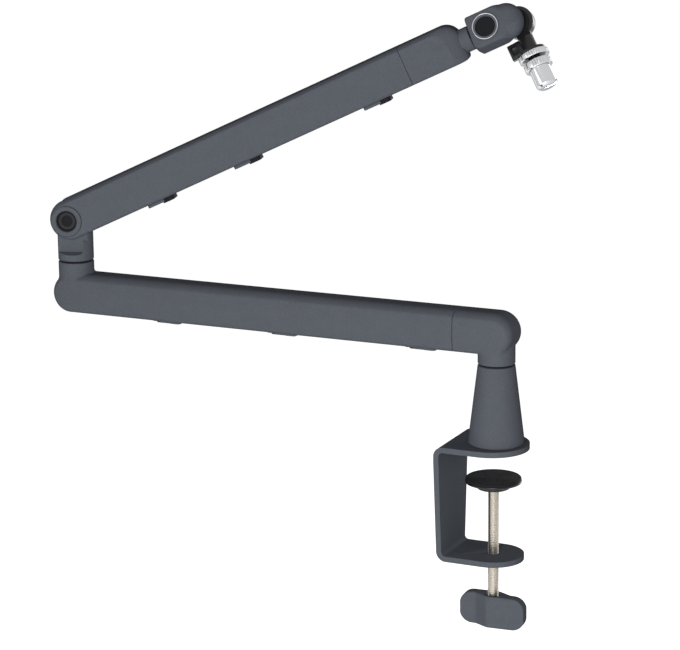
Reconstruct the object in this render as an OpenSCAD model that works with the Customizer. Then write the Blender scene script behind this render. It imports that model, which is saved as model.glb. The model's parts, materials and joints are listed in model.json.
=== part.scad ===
// Microphone boom arm: desk clamp with a conical post, a level lower arm that
// swings round the post, an upper arm that swings and tilts on the knuckle at its
// far end, and a turning head with a folding shank and a screw-thread adapter.
// Millimetres, +Z up. The origin is on the post's axis, in the underside of the
// clamp's top plate, which is the face that sits on the desk. +X is the way the
// clamp opens.

/* [Clamp] */
// Inside height between the two plates
clamp_gap = 78; // [60:1:95]
// Thickness of the steel strap
strap_t = 4; // [3:0.1:5]
// From the post's axis back to the web's inner face
clamp_reach = 33; // [30:1:45]
// Width of the top plate
top_plate_w = 54; // [46:1:64]
// Width of the bottom plate
bottom_plate_w = 44; // [30:1:50]
// How far the top plate's round end is centred behind the post's axis
top_end_back = 3.5; // [0:0.1:5]
// How far the clamp screw is behind the post's axis
screw_back = 2; // [0:0.1:5]
// Outside radius of the strap's two bends
bend_r = 7; // [5.5:0.1:9]
// Radius of the top plate's back corners
corner_r = 4; // [1:0.1:6]

/* [Clamp screw and foot] */
// Outside diameter of the clamp screw
screw_d = 7.9; // [6:0.1:10]
// Free gap between the desk face and the foot
foot_gap = 21.5; // [5:0.5:30]
// Diameter of the rubber disc on the foot
foot_d = 40.5; // [30:0.5:50]
// Thickness of the rubber disc
foot_pad_t = 1.8; // [1.2:0.1:3]
// Height of the metal cup under the rubber disc
foot_cup_h = 7.7; // [6.5:0.1:9]
// Diameter of the cup's hub where it meets the rim
foot_hub_d = 28; // [22:0.5:32]
// Radius of the ball on the screw's end
ball_r = 3.2; // [3:0.1:3.4]
// From the foot down to the handle's top
screw_free_h = 78; // [60:0.5:90]
// Height of the handle
handle_h = 27; // [20:0.5:34]
// Width of the handle across its two wings
handle_w = 50; // [36:1:60]
// Thickness of one wing
wing_t = 8.5; // [5:0.1:11]
// Diameter of the handle's middle hub
handle_hub_d = 18; // [15:0.5:22]
// How far each wing is set off the middle
wing_offset = 3; // [0:0.1:4]
// Angle of the handle at rest
handle_angle = 4; // [-90:1:90]

/* [Post] */
// Height of the post's top above the desk face
post_top_z = 61.3; // [50:0.1:80]
// Diameter of the post's base
post_base_d = 40.2; // [34:0.1:44]
// Diameter of the post's top and of the necks that turn on it
neck_d = 26.6; // [24:0.1:28]
// Thickness of the dark washer in each turning seam
seam_t = 0.6; // [0.4:0.1:1]
// Diameter of the steel pins that the arms turn on
turn_pin_d = 12; // [10:0.1:14]
// Wall of the plastic bush round each turning pin
bush_wall = 1.5; // [1:0.1:2]
// Depth of the turning pin in the post
post_pin_depth = 42; // [30:1:46]

/* [Arms] */
// Width of both arm beams
beam_w = 29; // [28:0.1:33]
// Height of both arm beams
beam_h = 30; // [28:0.1:36]
// Corner radius of the beams
beam_r = 6.5; // [4:0.1:8]
// Wall of the beams
beam_wall = 3; // [2:0.1:4]
// Height of the lower beam's middle above the desk face
lower_z = 84.3; // [80:0.1:90]
// Lower arm, from the post's axis to the knuckle's axis
lower_len = 340; // [260:1:420]
// Direction of the lower arm at rest
lower_azimuth = 180; // [135:1:225]
// From the post's axis to the seam between elbow and lower beam
elbow_len = 28.3; // [24:0.1:40]
// Height of the seam above the knuckle
knuckle_seam_z = 108.5; // [104:0.1:116]
// Radius of the round ends of the lower arm
round_end_r = 15.4; // [14.2:0.1:16.6]
// How softly the round ends curve into the beam's two sides
round_end_soft = 11; // [7:0.1:12]

/* [Knuckle and upper arm] */
// Height of the tilting pivot above the desk face
pivot_z = 140.1; // [138:0.1:150]
// How far the tilting pivot is set outward from the knuckle's axis
pivot_out = 2.5; // [0:0.1:3]
// Direction of the upper arm at rest
upper_azimuth = 15.6; // [-30:0.1:60]
// Slope of the upper arm at rest
upper_pitch = 25; // [0:0.5:60]
// Upper arm, from the pivot to the seam before its end casting
upper_beam_len = 281.2; // [200:0.1:360]
// Length of the end casting
end_casting_len = 44; // [36:0.5:60]
// Height of the swivel block's collar
swivel_collar_h = 5.4; // [4:0.1:8]
// Thickness of the swivel block's tongue
tongue_t = 14.4; // [12:0.1:16]
// Thickness of each friction washer
friction_t = 0.8; // [0.5:0.1:1.2]
// Diameter of the pivot bolt
pivot_bolt_d = 10; // [8:0.1:12]
// Diameter of the round recess in each cheek
pivot_recess_d = 14.6; // [13.5:0.1:17]
// Depth of the round recess in each cheek
pivot_recess_h = 4; // [3.6:0.1:4.4]
// Diameter of the raised ring round the recess
pivot_ring_d = 21; // [19:0.1:24]
// Height of the raised ring
pivot_ring_h = 0.7; // [0.3:0.1:1.2]

/* [Cable clips] */
// Length of a clip
clip_l = 25; // [20:0.5:34]
// Width of a clip
clip_w = 13; // [10:0.5:18]
// Thickness of a clip's plate
clip_t = 2.4; // [1.6:0.1:3.2]
// Length of the rubber tab at the end of a clip
tab_l = 10; // [6:0.5:14]
// Thickness of the rubber tab
tab_t = 3.2; // [2.4:0.1:4]
// Middles of the lower arm's clips, as shares of the lower arm
lower_clips_at = [0.168, 0.491, 0.771];
// Middles of the upper arm's clips, as shares of the upper beam
upper_clips_at = [0.255, 0.513, 0.893];
// Diameter of the screws that hold the clips
clip_screw_d = 3; // [2.5:0.5:4]
// Length of the screws that hold the clips
clip_screw_l = 8; // [6:0.5:10]

/* [Head] */
// How far the head's axis is below the beam's
head_drop = 1.5; // [0:0.1:3]
// Diameter of the neck that the head turns on
wrist_d = 18; // [16:0.1:19]
// Length of the neck
wrist_len = 6.2; // [6:0.1:12]
// Diameter of the pin inside the neck
wrist_pin_d = 8; // [6:0.1:9]
// Turn of the head about the arm at rest
head_roll = -24; // [-60:1:60]
// Length of the head's housing
head_len = 39; // [34:0.5:46]
// Height of the housing
head_h = 26; // [22:0.1:30]
// Thickness of the housing
head_t = 18; // [16:0.1:22]
// From the housing's back end to the ringed boss
boss_x = 12.8; // [11:0.1:15]
// Diameter of the ringed boss
boss_d = 20; // [16:0.1:22]
// Height of the boss over the housing's face
boss_h = 1; // [0.4:0.1:2]
// Diameter of the recess in the boss
boss_recess_d = 15; // [12:0.1:15.6]
// Radius of the ball-shaped end of the housing
dome_r = 12.8; // [10:0.1:13]
// From the housing's back end to the shank's hinge
hinge_x = 32.6; // [30:0.1:36]

/* [Shank and thread] */
// Diameter of the black hinge disc
hinge_disc_d = 23.2; // [20:0.1:25]
// Thickness of the hinge disc
hinge_disc_t = 7; // [5:0.1:9]
// Diameter of the shank
shank_d = 11.4; // [10:0.1:13]
// From the hinge axis to the flange
shank_len = 24.4; // [22:0.1:30]
// Lean of the shank away from the arm at rest
shank_lean = 4; // [0:0.5:15]
// Diameter of the flange
flange_d = 20.4; // [16:0.1:22]
// Thickness of the flange
flange_t = 1.6; // [1:0.1:2.4]
// Outside diameter of the inner thread
stud_d = 9.4; // [8:0.1:9.6]
// Diameter of the lock ring
lock_ring_d = 22.6; // [20:0.1:25]
// Height of the lock ring
lock_ring_h = 4.6; // [3:0.1:6]
// Bare thread between the lock ring and the adapter
thread_gap = 2.2; // [1:0.1:6]
// Diameter of the adapter's collar
adapter_collar_d = 20.4; // [18:0.1:22]
// Height of the adapter's collar
adapter_collar_h = 6; // [4:0.1:8]
// Outside diameter of the microphone thread
mic_thread_d = 15.8; // [12:0.1:16]
// Length of the microphone thread
mic_thread_l = 14.5; // [10:0.1:20]

/* [Hidden] */
$fn = 64;
hull_fn = 32;

// Clearances
run_gap = 0.06;        // radial gap of a pin that turns in its bore
seat_gap = 0.1;        // gap between flat faces that slide on each other
ball_gap = 0.3;        // gap round the foot's ball and other curved faces
eps = 0.01;

// Clamp
web_in_x = -clamp_reach;
web_out_x = web_in_x - strap_t;
bottom_z = -clamp_gap;
screw_x = -screw_back;
screw_r = screw_d / 2;

// Foot, from the rubber disc down
foot_top_z = -foot_gap;
cup_top_z = foot_top_z - foot_pad_t;
cup_bottom_z = cup_top_z - foot_cup_h;
ball_z = cup_bottom_z + 1.8;
ball_neck_r = 2.3;
screw_top_z = cup_bottom_z - 0.8;
handle_top_z = cup_bottom_z - screw_free_h;
handle_bottom_z = handle_top_z - handle_h;
handle_recess_h = 4.5;
handle_floor = 5;
screw_bottom_z = handle_bottom_z + handle_floor;
handle_pin_d = 3;
handle_pin_z = handle_bottom_z + 11;

// Post
post_r = neck_d / 2;
turn_pin_r = turn_pin_d / 2;
bush_r = turn_pin_r + run_gap + bush_wall;
post_foot_h = 0.6;
post_screw_d = 5;
post_screw_circle_r = 13;
post_screw_head_d = 9.4;
post_screw_l = 14;

// Turning seams
elbow_neck_z = post_top_z + seam_t + 2 * seat_gap;
swivel_bottom_z = knuckle_seam_z + seam_t / 2;
knuckle_top_z = knuckle_seam_z - seam_t / 2 - 2 * seat_gap;
neck_r = neck_d / 2;
pin_cut_z = 3;

// Beams
core_w = beam_w - 2 * beam_wall;
core_h = beam_h - 2 * beam_wall;
core_r = max(beam_r - beam_wall, 1);
seam_line = 0.3;
knuckle_solid = 24;
elbow_pocket = 14;
plug_l = 30;
plug_gap = 0.15;
plug_screw_d = 4;
plug_screw_head_d = 7.4;
plug_screw_head_h = 2.4;
plug_screw_l = 10;

// Knuckle, fork and pivot
pivot_r = pivot_bolt_d / 2;
tongue_r = neck_r - 0.3;
cheek_in = tongue_t / 2 + friction_t + 2 * seat_gap;
slot_end_x = tongue_r + 4.5;
swivel_pin_l = 28;
pin_screw_d = 6;
cap_t = 1.2;
bolt_head_h = 2.4;

// End casting and neck
casting_end_x = upper_beam_len + end_casting_len;
casting_top_r = 12;
casting_plan_r = 7.5;
casting_low_r = 4.5;
wrist_r = wrist_d / 2;
wrist_pin_r = wrist_pin_d / 2;
head_x = casting_end_x + wrist_len + 2 * seat_gap + seam_t;
wrist_pin_in = 20;
wrist_pin_out = 24;

// Head
boss_r = boss_d / 2;
boss_face_y = -head_t / 2 - boss_h;
ring_w = 0.9;
ring_h = 0.5;
recess_h = 3;
tension_d = 5;
dome_x = head_len - dome_r;
hinge_y = head_t / 2 + 2 * seat_gap + seam_t;
hinge_screw_d = 5;
hinge_screw_head_d = 10;

// Shank, measured from the hinge's axis downward
shank_r = shank_d / 2;
shank_y = hinge_y + shank_r - 4;
shank_start = head_h / 2 + 0.3;
flange_end = shank_len + flange_t;
ring_start = flange_end + 0.4;
ring_end = ring_start + lock_ring_h;
adapter_start = ring_end + thread_gap;
barrel_start = adapter_start + adapter_collar_h;
adapter_end = barrel_start + mic_thread_l;
stud_end = barrel_start + 6;
stud_r = stud_d / 2;
eye_w = 9;
eye_t = 4;
eye_bar = 2;

// Clips
lower_clips_x = lower_clips_at * lower_len;
upper_clips_x = upper_clips_at * upper_beam_len;
clip_screw_head_d = 1.87 * clip_screw_d;
clip_screw_head_h = 0.53 * clip_screw_d;
clip_screw_key = 0.67 * clip_screw_d;
clip_screw_in = 0.24 * clip_l;

grey = [0.32, 0.34, 0.38];
dark = [0.07, 0.07, 0.08];
steel = [0.72, 0.70, 0.66];
chrome = [0.85, 0.86, 0.88];
rubber = [0.05, 0.05, 0.05];
nylon = [0.12, 0.12, 0.13];

// Frames of the moving pieces

module lower_frame() {
    translate([0, 0, lower_z]) rotate([0, 0, lower_azimuth]) children();
}

module swivel_frame() {
    translate([lower_len * cos(lower_azimuth), lower_len * sin(lower_azimuth), 0])
        rotate([0, 0, upper_azimuth]) children();
}

module upper_frame() {
    swivel_frame() translate([-pivot_out, 0, pivot_z]) rotate([0, -upper_pitch, 0]) children();
}

// The head's own frame has its origin on the roll axis, at the housing's back end
module head_frame() {
    upper_frame() translate([head_x, 0, -head_drop]) rotate([head_roll, 0, 0]) children();
}

// The shank's own frame has its origin on the hinge, +Z along the shank to its tip
module shank_frame() {
    head_frame() translate([hinge_x, 0, 0]) rotate([0, 180 - shank_lean, 0]) children();
}

// Shared shapes

module rounded_plate(l, w, r) {
    translate([r, r - w / 2]) offset_square(l, w, r);
}

module offset_square(l, w, r) {
    union() {
        translate([-r, 0]) square([l, w - 2 * r]);
        translate([0, -r]) square([l - 2 * r, w]);
        for (x = [0, l - 2 * r], y = [0, w - 2 * r]) translate([x, y]) circle(r);
    }
}

module beam_outline(w, h, r) {
    union() {
        square([w - 2 * r, h], center = true);
        square([w, h - 2 * r], center = true);
        for (sx = [-1, 1], sy = [-1, 1])
            translate([sx * (w / 2 - r), sy * (h / 2 - r)]) circle(r);
    }
}

// A bar along +X whose section lies in the Y-Z plane
module bar(l, w, h, r) {
    rotate([90, 0, 90]) linear_extrude(l) beam_outline(w, h, r);
}

module rod_y(r, y0, y1) {
    translate([0, y1, 0]) rotate([90, 0, 0]) cylinder(r = r, h = y1 - y0);
}

module rod_x(r, x0, x1) {
    translate([x0, 0, 0]) rotate([0, 90, 0]) cylinder(r = r, h = x1 - x0);
}

module tube(r_out, r_in, z0, z1) {
    translate([0, 0, z0]) difference() {
        cylinder(r = r_out, h = z1 - z0);
        translate([0, 0, -1]) cylinder(r = r_in, h = z1 - z0 + 2);
    }
}

// A round block with soft edges, the end of an arm
module soft_puck(r, h, soft) {
    rotate_extrude($fn = hull_fn) {
        square([r - soft, h / 2]);
        translate([0, -h / 2]) square([r - soft, h / 2]);
        intersection() {
            for (s = [-1, 1])
                translate([r - soft, s * (h / 2 - soft)]) circle(soft, $fn = hull_fn);
            translate([0, -h / 2]) square([r, h]);
        }
        translate([0, soft - h / 2]) square([r, h - 2 * soft]);
    }
}

// The soft round end of a beam, round in side view, from the axis at x = 0 to a section at x = l
module round_end(l) {
    hull() {
        rotate([90, 0, 0]) soft_puck(round_end_r, beam_w, round_end_soft);
        translate([l, 0, 0]) bar(eps, beam_w, beam_h, beam_r, $fn = hull_fn);
    }
}

// A screw along +Z, its flat head's top at z = 0 and its shaft downward
module flat_screw(d, head_d, head_h, l, key_d) {
    difference() {
        union() {
            rotate_extrude() polygon([[0, 0], [head_d / 2, 0], [head_d / 2, -0.4], [d / 2, -head_h],
                [d / 2, -l], [0, -l]]);
        }
        translate([0, 0, -head_h * 0.7]) cylinder(d = key_d, h = head_h, $fn = 6);
    }
}

// The hole that such a screw sits in
module flat_screw_seat(d, head_d, head_h, l, gap) {
    rotate_extrude() polygon([[0, 1], [head_d / 2 + gap, 1], [head_d / 2 + gap, -0.4 - gap],
        [d / 2 + gap, -head_h - gap], [d / 2 + gap, -l - gap], [0, -l - gap]]);
}

// Clamp

module plate_shape(w, end_x, r_back) {
    hull() {
        translate([end_x, 0]) circle(d = w);
        translate([web_out_x, -w / 2]) square([1, w]);
    }
}

// The strap seen from the side, as one bent band
module strap_side() {
    difference() {
        strap_outline(web_out_x, strap_t, bottom_z - strap_t, bend_r, top_plate_w + 10);
        strap_outline(web_in_x, 0, bottom_z, bend_r - strap_t, top_plate_w + 20);
    }
}

module strap_outline(x0, z1, z0, r, x1) {
    translate([x0, z0]) union() {
        translate([r, 0]) square([x1 - x0 - r, z1 - z0]);
        translate([0, r]) square([x1 - x0, z1 - z0 - 2 * r]);
        translate([r, r]) circle(r);
        translate([r, z1 - z0 - r]) circle(r);
    }
}

module web_taper() {
    half_top = top_plate_w / 2;
    half_low = bottom_plate_w / 2;
    rotate([90, 0, 90]) translate([0, 0, web_out_x - 1]) linear_extrude(strap_t + bend_r + 1)
        polygon([[-half_top, strap_t + 1], [-half_top, -bend_r], [-half_low, bottom_z],
            [-half_low, bottom_z - strap_t - 1], [half_low, bottom_z - strap_t - 1],
            [half_low, bottom_z], [half_top, -bend_r], [half_top, strap_t + 1]]);
}

module top_plan() {
    half = top_plate_w / 2;
    union() {
        translate([-top_end_back, 0]) circle(half, $fn = 96);
        translate([web_out_x + corner_r, -half]) square([-top_end_back - web_out_x - corner_r, 2 * half]);
        translate([web_out_x, corner_r - half]) square([-web_out_x, 2 * (half - corner_r)]);
        for (s = [-1, 1]) translate([web_out_x + corner_r, s * (half - corner_r)]) circle(corner_r);
    }
}

module bottom_plan() {
    half = bottom_plate_w / 2;
    union() {
        translate([screw_x, 0]) circle(half, $fn = 96);
        translate([web_out_x, -half]) square([screw_x - web_out_x, 2 * half]);
    }
}

module clamp_plan_space() {
    translate([0, 0, -bend_r]) linear_extrude(bend_r + strap_t) top_plan();
    translate([0, 0, bottom_z - strap_t]) linear_extrude(bend_r + strap_t) bottom_plan();
    web_taper();
}

module clamp_frame() {
    color(grey) difference() {
        intersection() {
            rotate([90, 0, 0]) translate([0, 0, -top_plate_w]) linear_extrude(2 * top_plate_w) strap_side();
            clamp_plan_space();
        }
        translate([screw_x, 0, bottom_z - strap_t - 1]) cylinder(r = screw_r + run_gap, h = strap_t + 2);
        for (a = [60 : 120 : 300]) rotate([0, 0, a]) translate([post_screw_circle_r, 0, 0])
            mirror([0, 0, 1]) flat_screw_seat(post_screw_d, post_screw_head_d, 2.8, strap_t + 3, 0.1);
    }
}

// Post

module post() {
    base_r = post_base_d / 2;
    color(grey) difference() {
        rotate_extrude($fn = 96) polygon([[0, strap_t], [base_r - 1.4, strap_t],
            [base_r - 1.4, strap_t + post_foot_h], [base_r - 0.3, strap_t + post_foot_h],
            [base_r, strap_t + post_foot_h + 0.4], [post_r + 0.05, post_top_z - 0.5],
            [post_r - 0.4, post_top_z], [0, post_top_z]]);
        translate([0, 0, post_top_z - post_pin_depth - pin_cut_z])
            cylinder(r = bush_r, h = post_pin_depth + pin_cut_z + 1);
        for (a = [60 : 120 : 300]) rotate([0, 0, a])
            translate([post_screw_circle_r, 0, strap_t - 1]) cylinder(d = post_screw_d, h = post_screw_l);
    }
}

module post_screws() {
    color(dark) for (a = [60 : 120 : 300]) rotate([0, 0, a]) translate([post_screw_circle_r, 0, 0.1])
        mirror([0, 0, 1]) flat_screw(post_screw_d, post_screw_head_d, 2.8, post_screw_l, 3);
}

module post_bush() {
    color(nylon) tube(bush_r, turn_pin_r + run_gap, post_top_z - post_pin_depth - pin_cut_z, post_top_z - 0.4);
}

// Foot and clamp screw

module foot_cup() {
    hub_r = foot_hub_d / 2;
    rim_r = foot_d / 2;
    color(dark) translate([screw_x, 0, 0]) difference() {
        rotate_extrude($fn = 96) polygon([[0, cup_top_z], [rim_r - 0.8, cup_top_z],
            [rim_r, cup_top_z - 0.5], [rim_r, cup_top_z - 1.4], [rim_r - 0.4, cup_top_z - 1.8],
            [hub_r, cup_top_z - 2.2], [6, cup_bottom_z + 0.8], [5.4, cup_bottom_z], [0, cup_bottom_z]]);
        translate([0, 0, ball_z]) sphere(ball_r + ball_gap);
    }
}

module foot_pad() {
    pad_r = foot_d / 2 - 0.4;
    groove_step = 2.2;
    color(rubber) translate([screw_x, 0, 0]) difference() {
        rotate_extrude($fn = 96) polygon([[0, foot_top_z], [pad_r - 0.7, foot_top_z],
            [pad_r, foot_top_z - 0.7], [pad_r, cup_top_z], [0, cup_top_z]]);
        for (r = [groove_step : groove_step : pad_r - 2])
            translate([0, 0, foot_top_z - 0.5]) difference() {
                cylinder(r = r + 0.4, h = 1);
                translate([0, 0, -1]) cylinder(r = r - 0.4, h = 3);
            }
    }
}

module clamp_screw() {
    chamfer = 0.8;
    color(steel) translate([screw_x, 0, 0]) difference() {
        union() {
            translate([0, 0, screw_bottom_z]) cylinder(r = screw_r, h = screw_top_z - chamfer - screw_bottom_z);
            translate([0, 0, screw_top_z - chamfer])
                cylinder(r1 = screw_r, r2 = screw_r - chamfer, h = chamfer);
            translate([0, 0, screw_top_z - chamfer]) cylinder(r = ball_neck_r, h = ball_z - screw_top_z);
            translate([0, 0, ball_z]) sphere(ball_r);
        }
        translate([0, 0, handle_pin_z]) rotate([90, 0, 0])
            cylinder(d = handle_pin_d, h = 2 * screw_d, center = true);
    }
}

module wing_outline(side) {
    end_r = handle_h / 3;
    hull() {
        translate([0, 1.5]) square([1, handle_h - 5]);
        translate([handle_w / 2 - end_r, handle_h / 2 - 1]) circle(end_r);
        translate([handle_w / 2 - end_r, handle_h / 2 + 1]) circle(end_r);
    }
}

module screw_handle() {
    color(dark) translate([screw_x, 0, handle_bottom_z]) rotate([0, 0, handle_angle]) difference() {
        union() {
            cylinder(d = handle_hub_d, h = handle_h - 1);
            translate([0, 0, handle_h - 1]) cylinder(d1 = handle_hub_d, d2 = handle_hub_d - 2, h = 1);
            for (s = [0, 180]) rotate([0, 0, s]) translate([0, wing_t / 2 - wing_offset, 0])
                rotate([90, 0, 0]) linear_extrude(wing_t) wing_outline();
        }
        translate([0, 0, handle_floor]) cylinder(r = screw_r, h = handle_h);
        translate([0, 0, handle_h - handle_recess_h]) cylinder(d = screw_d + 5, h = handle_recess_h + 1);
        translate([0, 0, handle_pin_z - handle_bottom_z]) rotate([90, 0, -handle_angle])
            cylinder(d = handle_pin_d, h = handle_hub_d + 12, center = true);
    }
}

module handle_pin() {
    color(steel) translate([screw_x, 0, handle_pin_z]) rotate([90, 0, 0])
        cylinder(d = handle_pin_d, h = handle_hub_d - 1, center = true);
}

// Lower arm

module elbow_seam_washer() {
    color(dark) tube(neck_r - 0.6, turn_pin_r + 0.3, post_top_z + seat_gap, post_top_z + seat_gap + seam_t);
}

module plug_screw_places(x) {
    for (dx = [-9, 9]) translate([x + dx, 0, -beam_h / 2]) mirror([0, 0, 1]) children();
}

module elbow_casting() {
    color(grey) lower_frame() difference() {
        union() {
            round_end(elbow_len - seam_line - eps);
            translate([0, 0, elbow_neck_z - lower_z]) cylinder(r = neck_r, h = lower_z - elbow_neck_z);
        }
        translate([elbow_len - elbow_pocket, 0, 0]) bar(elbow_pocket + 1, core_w, core_h, core_r);
        translate([0, 0, elbow_neck_z - lower_z - 1]) cylinder(r = turn_pin_r, h = lower_z - elbow_neck_z + 1);
        plug_screw_places(elbow_len) flat_screw_seat(plug_screw_d, plug_screw_head_d, plug_screw_head_h,
            plug_screw_l, 0.05);
    }
}

module elbow_pin() {
    color(steel) translate([0, 0, post_top_z - post_pin_depth]) cylinder(r = turn_pin_r,
        h = lower_z - post_top_z + post_pin_depth);
}

module plug(x) {
    difference() {
        translate([x - plug_l / 2 + 2, 0, 0])
            bar(plug_l - 3, core_w - 2 * plug_gap, core_h - 2 * plug_gap, core_r - plug_gap / 2);
        plug_screw_places(x) translate([0, 0, -plug_screw_l - 1])
            cylinder(d = plug_screw_d + 0.1, h = plug_screw_l + 2);
    }
}

module elbow_plug() {
    color(steel) lower_frame() plug(elbow_len);
}

module elbow_plug_screws() {
    color(dark) lower_frame() plug_screw_places(elbow_len) flat_screw(plug_screw_d, plug_screw_head_d,
        plug_screw_head_h, plug_screw_l, 2.5);
}

module clip_screw_places(xs, dir) {
    for (x = xs) translate([x - dir * (clip_l / 2 - clip_screw_in), 0, -beam_h / 2 - clip_t]) mirror([0, 0, 1]) children();
}

module lower_beam() {
    tube_end_x = lower_len - knuckle_solid;
    color(grey) lower_frame() difference() {
        union() {
            translate([elbow_len, 0, 0]) bar(tube_end_x + 8 - elbow_len, beam_w, beam_h, beam_r);
            translate([lower_len, 0, 0]) rotate([0, 0, 180]) round_end(knuckle_solid - 8);
            translate([lower_len, 0, 0]) cylinder(r = neck_r, h = knuckle_top_z - lower_z);
        }
        translate([elbow_len - 1, 0, 0]) bar(tube_end_x - elbow_len + 1, core_w, core_h, core_r);
        translate([lower_len, 0, knuckle_top_z - lower_z - swivel_pin_l - pin_cut_z])
            cylinder(r = bush_r, h = swivel_pin_l + pin_cut_z + 1);
        plug_screw_places(elbow_len) flat_screw_seat(plug_screw_d, plug_screw_head_d, plug_screw_head_h,
            plug_screw_l, 0.05);
        clip_screw_places(lower_clips_x, -1) translate([0, 0, -clip_screw_l])
            cylinder(d = clip_screw_d, h = clip_screw_l + 1);
    }
}

module clip_plate(x, dir) {
    low_z = -beam_h / 2 - clip_t;
    translate([x, 0, low_z]) difference() {
        linear_extrude(clip_t) beam_outline(clip_l, clip_w, 3);
        translate([dir * (clip_l / 2 - tab_l / 2), 0, -1]) linear_extrude(clip_t - 0.6 + 1)
            square([tab_l + eps, clip_w + 1], center = true);
    }
}

module clip_tab(x, dir) {
    translate([x + dir * (clip_l / 2 - tab_l / 2), 0, -beam_h / 2 - 0.6]) difference() {
        mirror([0, 0, 1]) linear_extrude(tab_t) beam_outline(tab_l, clip_w, 2.4);
        translate([dir * -tab_l / 2, 0, -0.7]) rotate([90, 0, 0]) cylinder(r = 0.6, h = clip_w + 1, center = true);
    }
}

module clip_set(xs, dir) {
    for (x = xs) difference() {
        clip_plate(x, dir);
        clip_screw_places([x], dir) flat_screw_seat(clip_screw_d, clip_screw_head_d,
            clip_screw_head_h, clip_t + 2, 0.05);
    }
}

module lower_clips() {
    color(grey) lower_frame() clip_set(lower_clips_x, -1);
}

module lower_clip_tabs() {
    color(rubber) lower_frame() for (x = lower_clips_x) clip_tab(x, -1);
}

module lower_clip_screws() {
    color(dark) lower_frame() clip_screw_places(lower_clips_x, -1) flat_screw(clip_screw_d,
        clip_screw_head_d, clip_screw_head_h, clip_screw_l, clip_screw_key);
}

module knuckle_bush() {
    color(nylon) lower_frame() translate([lower_len, 0, 0]) tube(bush_r, turn_pin_r + run_gap,
        knuckle_top_z - lower_z - swivel_pin_l - pin_cut_z, knuckle_top_z - lower_z - 0.4);
}

// Swivel

module knuckle_seam_washer() {
    color(dark) swivel_frame() tube(neck_r - 0.6, turn_pin_r + 0.3, knuckle_top_z + seat_gap,
        knuckle_top_z + seat_gap + seam_t);
}

module swivel_block() {
    collar_top = swivel_bottom_z + swivel_collar_h;
    color(grey) swivel_frame() difference() {
        union() {
            translate([0, 0, swivel_bottom_z]) cylinder(r = neck_r, h = swivel_collar_h);
            intersection() {
                translate([0, 0, collar_top - 1]) cylinder(r = neck_r, h = pivot_z - collar_top + 1);
                translate([0, 0, pivot_z]) cube([2 * neck_r + 1, tongue_t, 2 * (pivot_z - collar_top + 1)],
                    center = true);
            }
            translate([-pivot_out, 0, pivot_z]) rod_y(tongue_r, -tongue_t / 2, tongue_t / 2);
        }
        translate([-pivot_out, 0, pivot_z]) rod_y(pivot_r + run_gap, -tongue_t, tongue_t);
        translate([0, 0, swivel_bottom_z - 1]) cylinder(r = turn_pin_r, h = 9);
        translate([0, 0, swivel_bottom_z]) cylinder(d = pin_screw_d, h = 16);
    }
}

module swivel_pin() {
    color(steel) swivel_frame() difference() {
        translate([0, 0, knuckle_top_z - swivel_pin_l]) cylinder(r = turn_pin_r,
            h = swivel_bottom_z + 8 - knuckle_top_z + swivel_pin_l);
        translate([0, 0, knuckle_top_z - swivel_pin_l - 1]) cylinder(d = pin_screw_d,
            h = swivel_bottom_z + 10 - knuckle_top_z + swivel_pin_l);
        translate([0, 0, knuckle_top_z - swivel_pin_l - 1]) cylinder(d = pin_screw_d + 4, h = 5);
    }
}

module swivel_pin_screw() {
    low = knuckle_top_z - swivel_pin_l;
    color(dark) swivel_frame() difference() {
        union() {
            translate([0, 0, low]) cylinder(d = pin_screw_d + 3.6, h = 4);
            translate([0, 0, low + 3]) cylinder(d = pin_screw_d, h = swivel_bottom_z + 15 - low - 3);
        }
        translate([0, 0, low - 1]) cylinder(d = 5, h = 3.5, $fn = 6);
    }
}

// Upper arm

module pivot_cut(s) {
    face_y = s * (beam_w / 2 + pivot_ring_h);
    rod_y(pivot_recess_d / 2, min(face_y, face_y - s * (pivot_recess_h + pivot_ring_h)) - (s < 0 ? 1 : 0),
        max(face_y, face_y - s * (pivot_recess_h + pivot_ring_h)) + (s > 0 ? 1 : 0));
}

module upper_beam() {
    color(grey) upper_frame() difference() {
        union() {
            translate([slot_end_x + 8, 0, 0])
                bar(upper_beam_len - seam_line - slot_end_x - 8, beam_w, beam_h, beam_r);
            fork_end();
            for (s = [-1, 1]) rod_y(pivot_ring_d / 2, s > 0 ? beam_w / 2 - 1 : -beam_w / 2 - pivot_ring_h,
                s > 0 ? beam_w / 2 + pivot_ring_h : -beam_w / 2 + 1);
        }
        translate([slot_end_x + 16, 0, 0]) bar(upper_beam_len, core_w, core_h, core_r);
        translate([-beam_h, -cheek_in, -beam_h]) cube([beam_h + slot_end_x, 2 * cheek_in, 2 * beam_h]);
        rod_y(pivot_r + 0.02, -beam_w, beam_w);
        for (s = [-1, 1]) pivot_cut(s);
        plug_screw_places(upper_beam_len) flat_screw_seat(plug_screw_d, plug_screw_head_d,
            plug_screw_head_h, plug_screw_l, 0.05);
        clip_screw_places(upper_clips_x, 1) translate([0, 0, -clip_screw_l])
            cylinder(d = clip_screw_d, h = clip_screw_l + 1);
    }
}

// The fork's round end: a flat drum whose rims are softened like the beam's corners
module fork_end() {
    drum_soft = 3;
    hull() {
        rotate([90, 0, 0]) rotate_extrude($fn = 48) {
            translate([0, -beam_w / 2]) square([beam_h / 2 - drum_soft, beam_w]);
            translate([0, drum_soft - beam_w / 2]) square([beam_h / 2, beam_w - 2 * drum_soft]);
            for (s = [-1, 1]) translate([beam_h / 2 - drum_soft, s * (beam_w / 2 - drum_soft)])
                circle(drum_soft, $fn = 24);
        }
        translate([slot_end_x + 8, 0, 0]) bar(eps, beam_w, beam_h, beam_r, $fn = hull_fn);
    }
}

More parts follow.
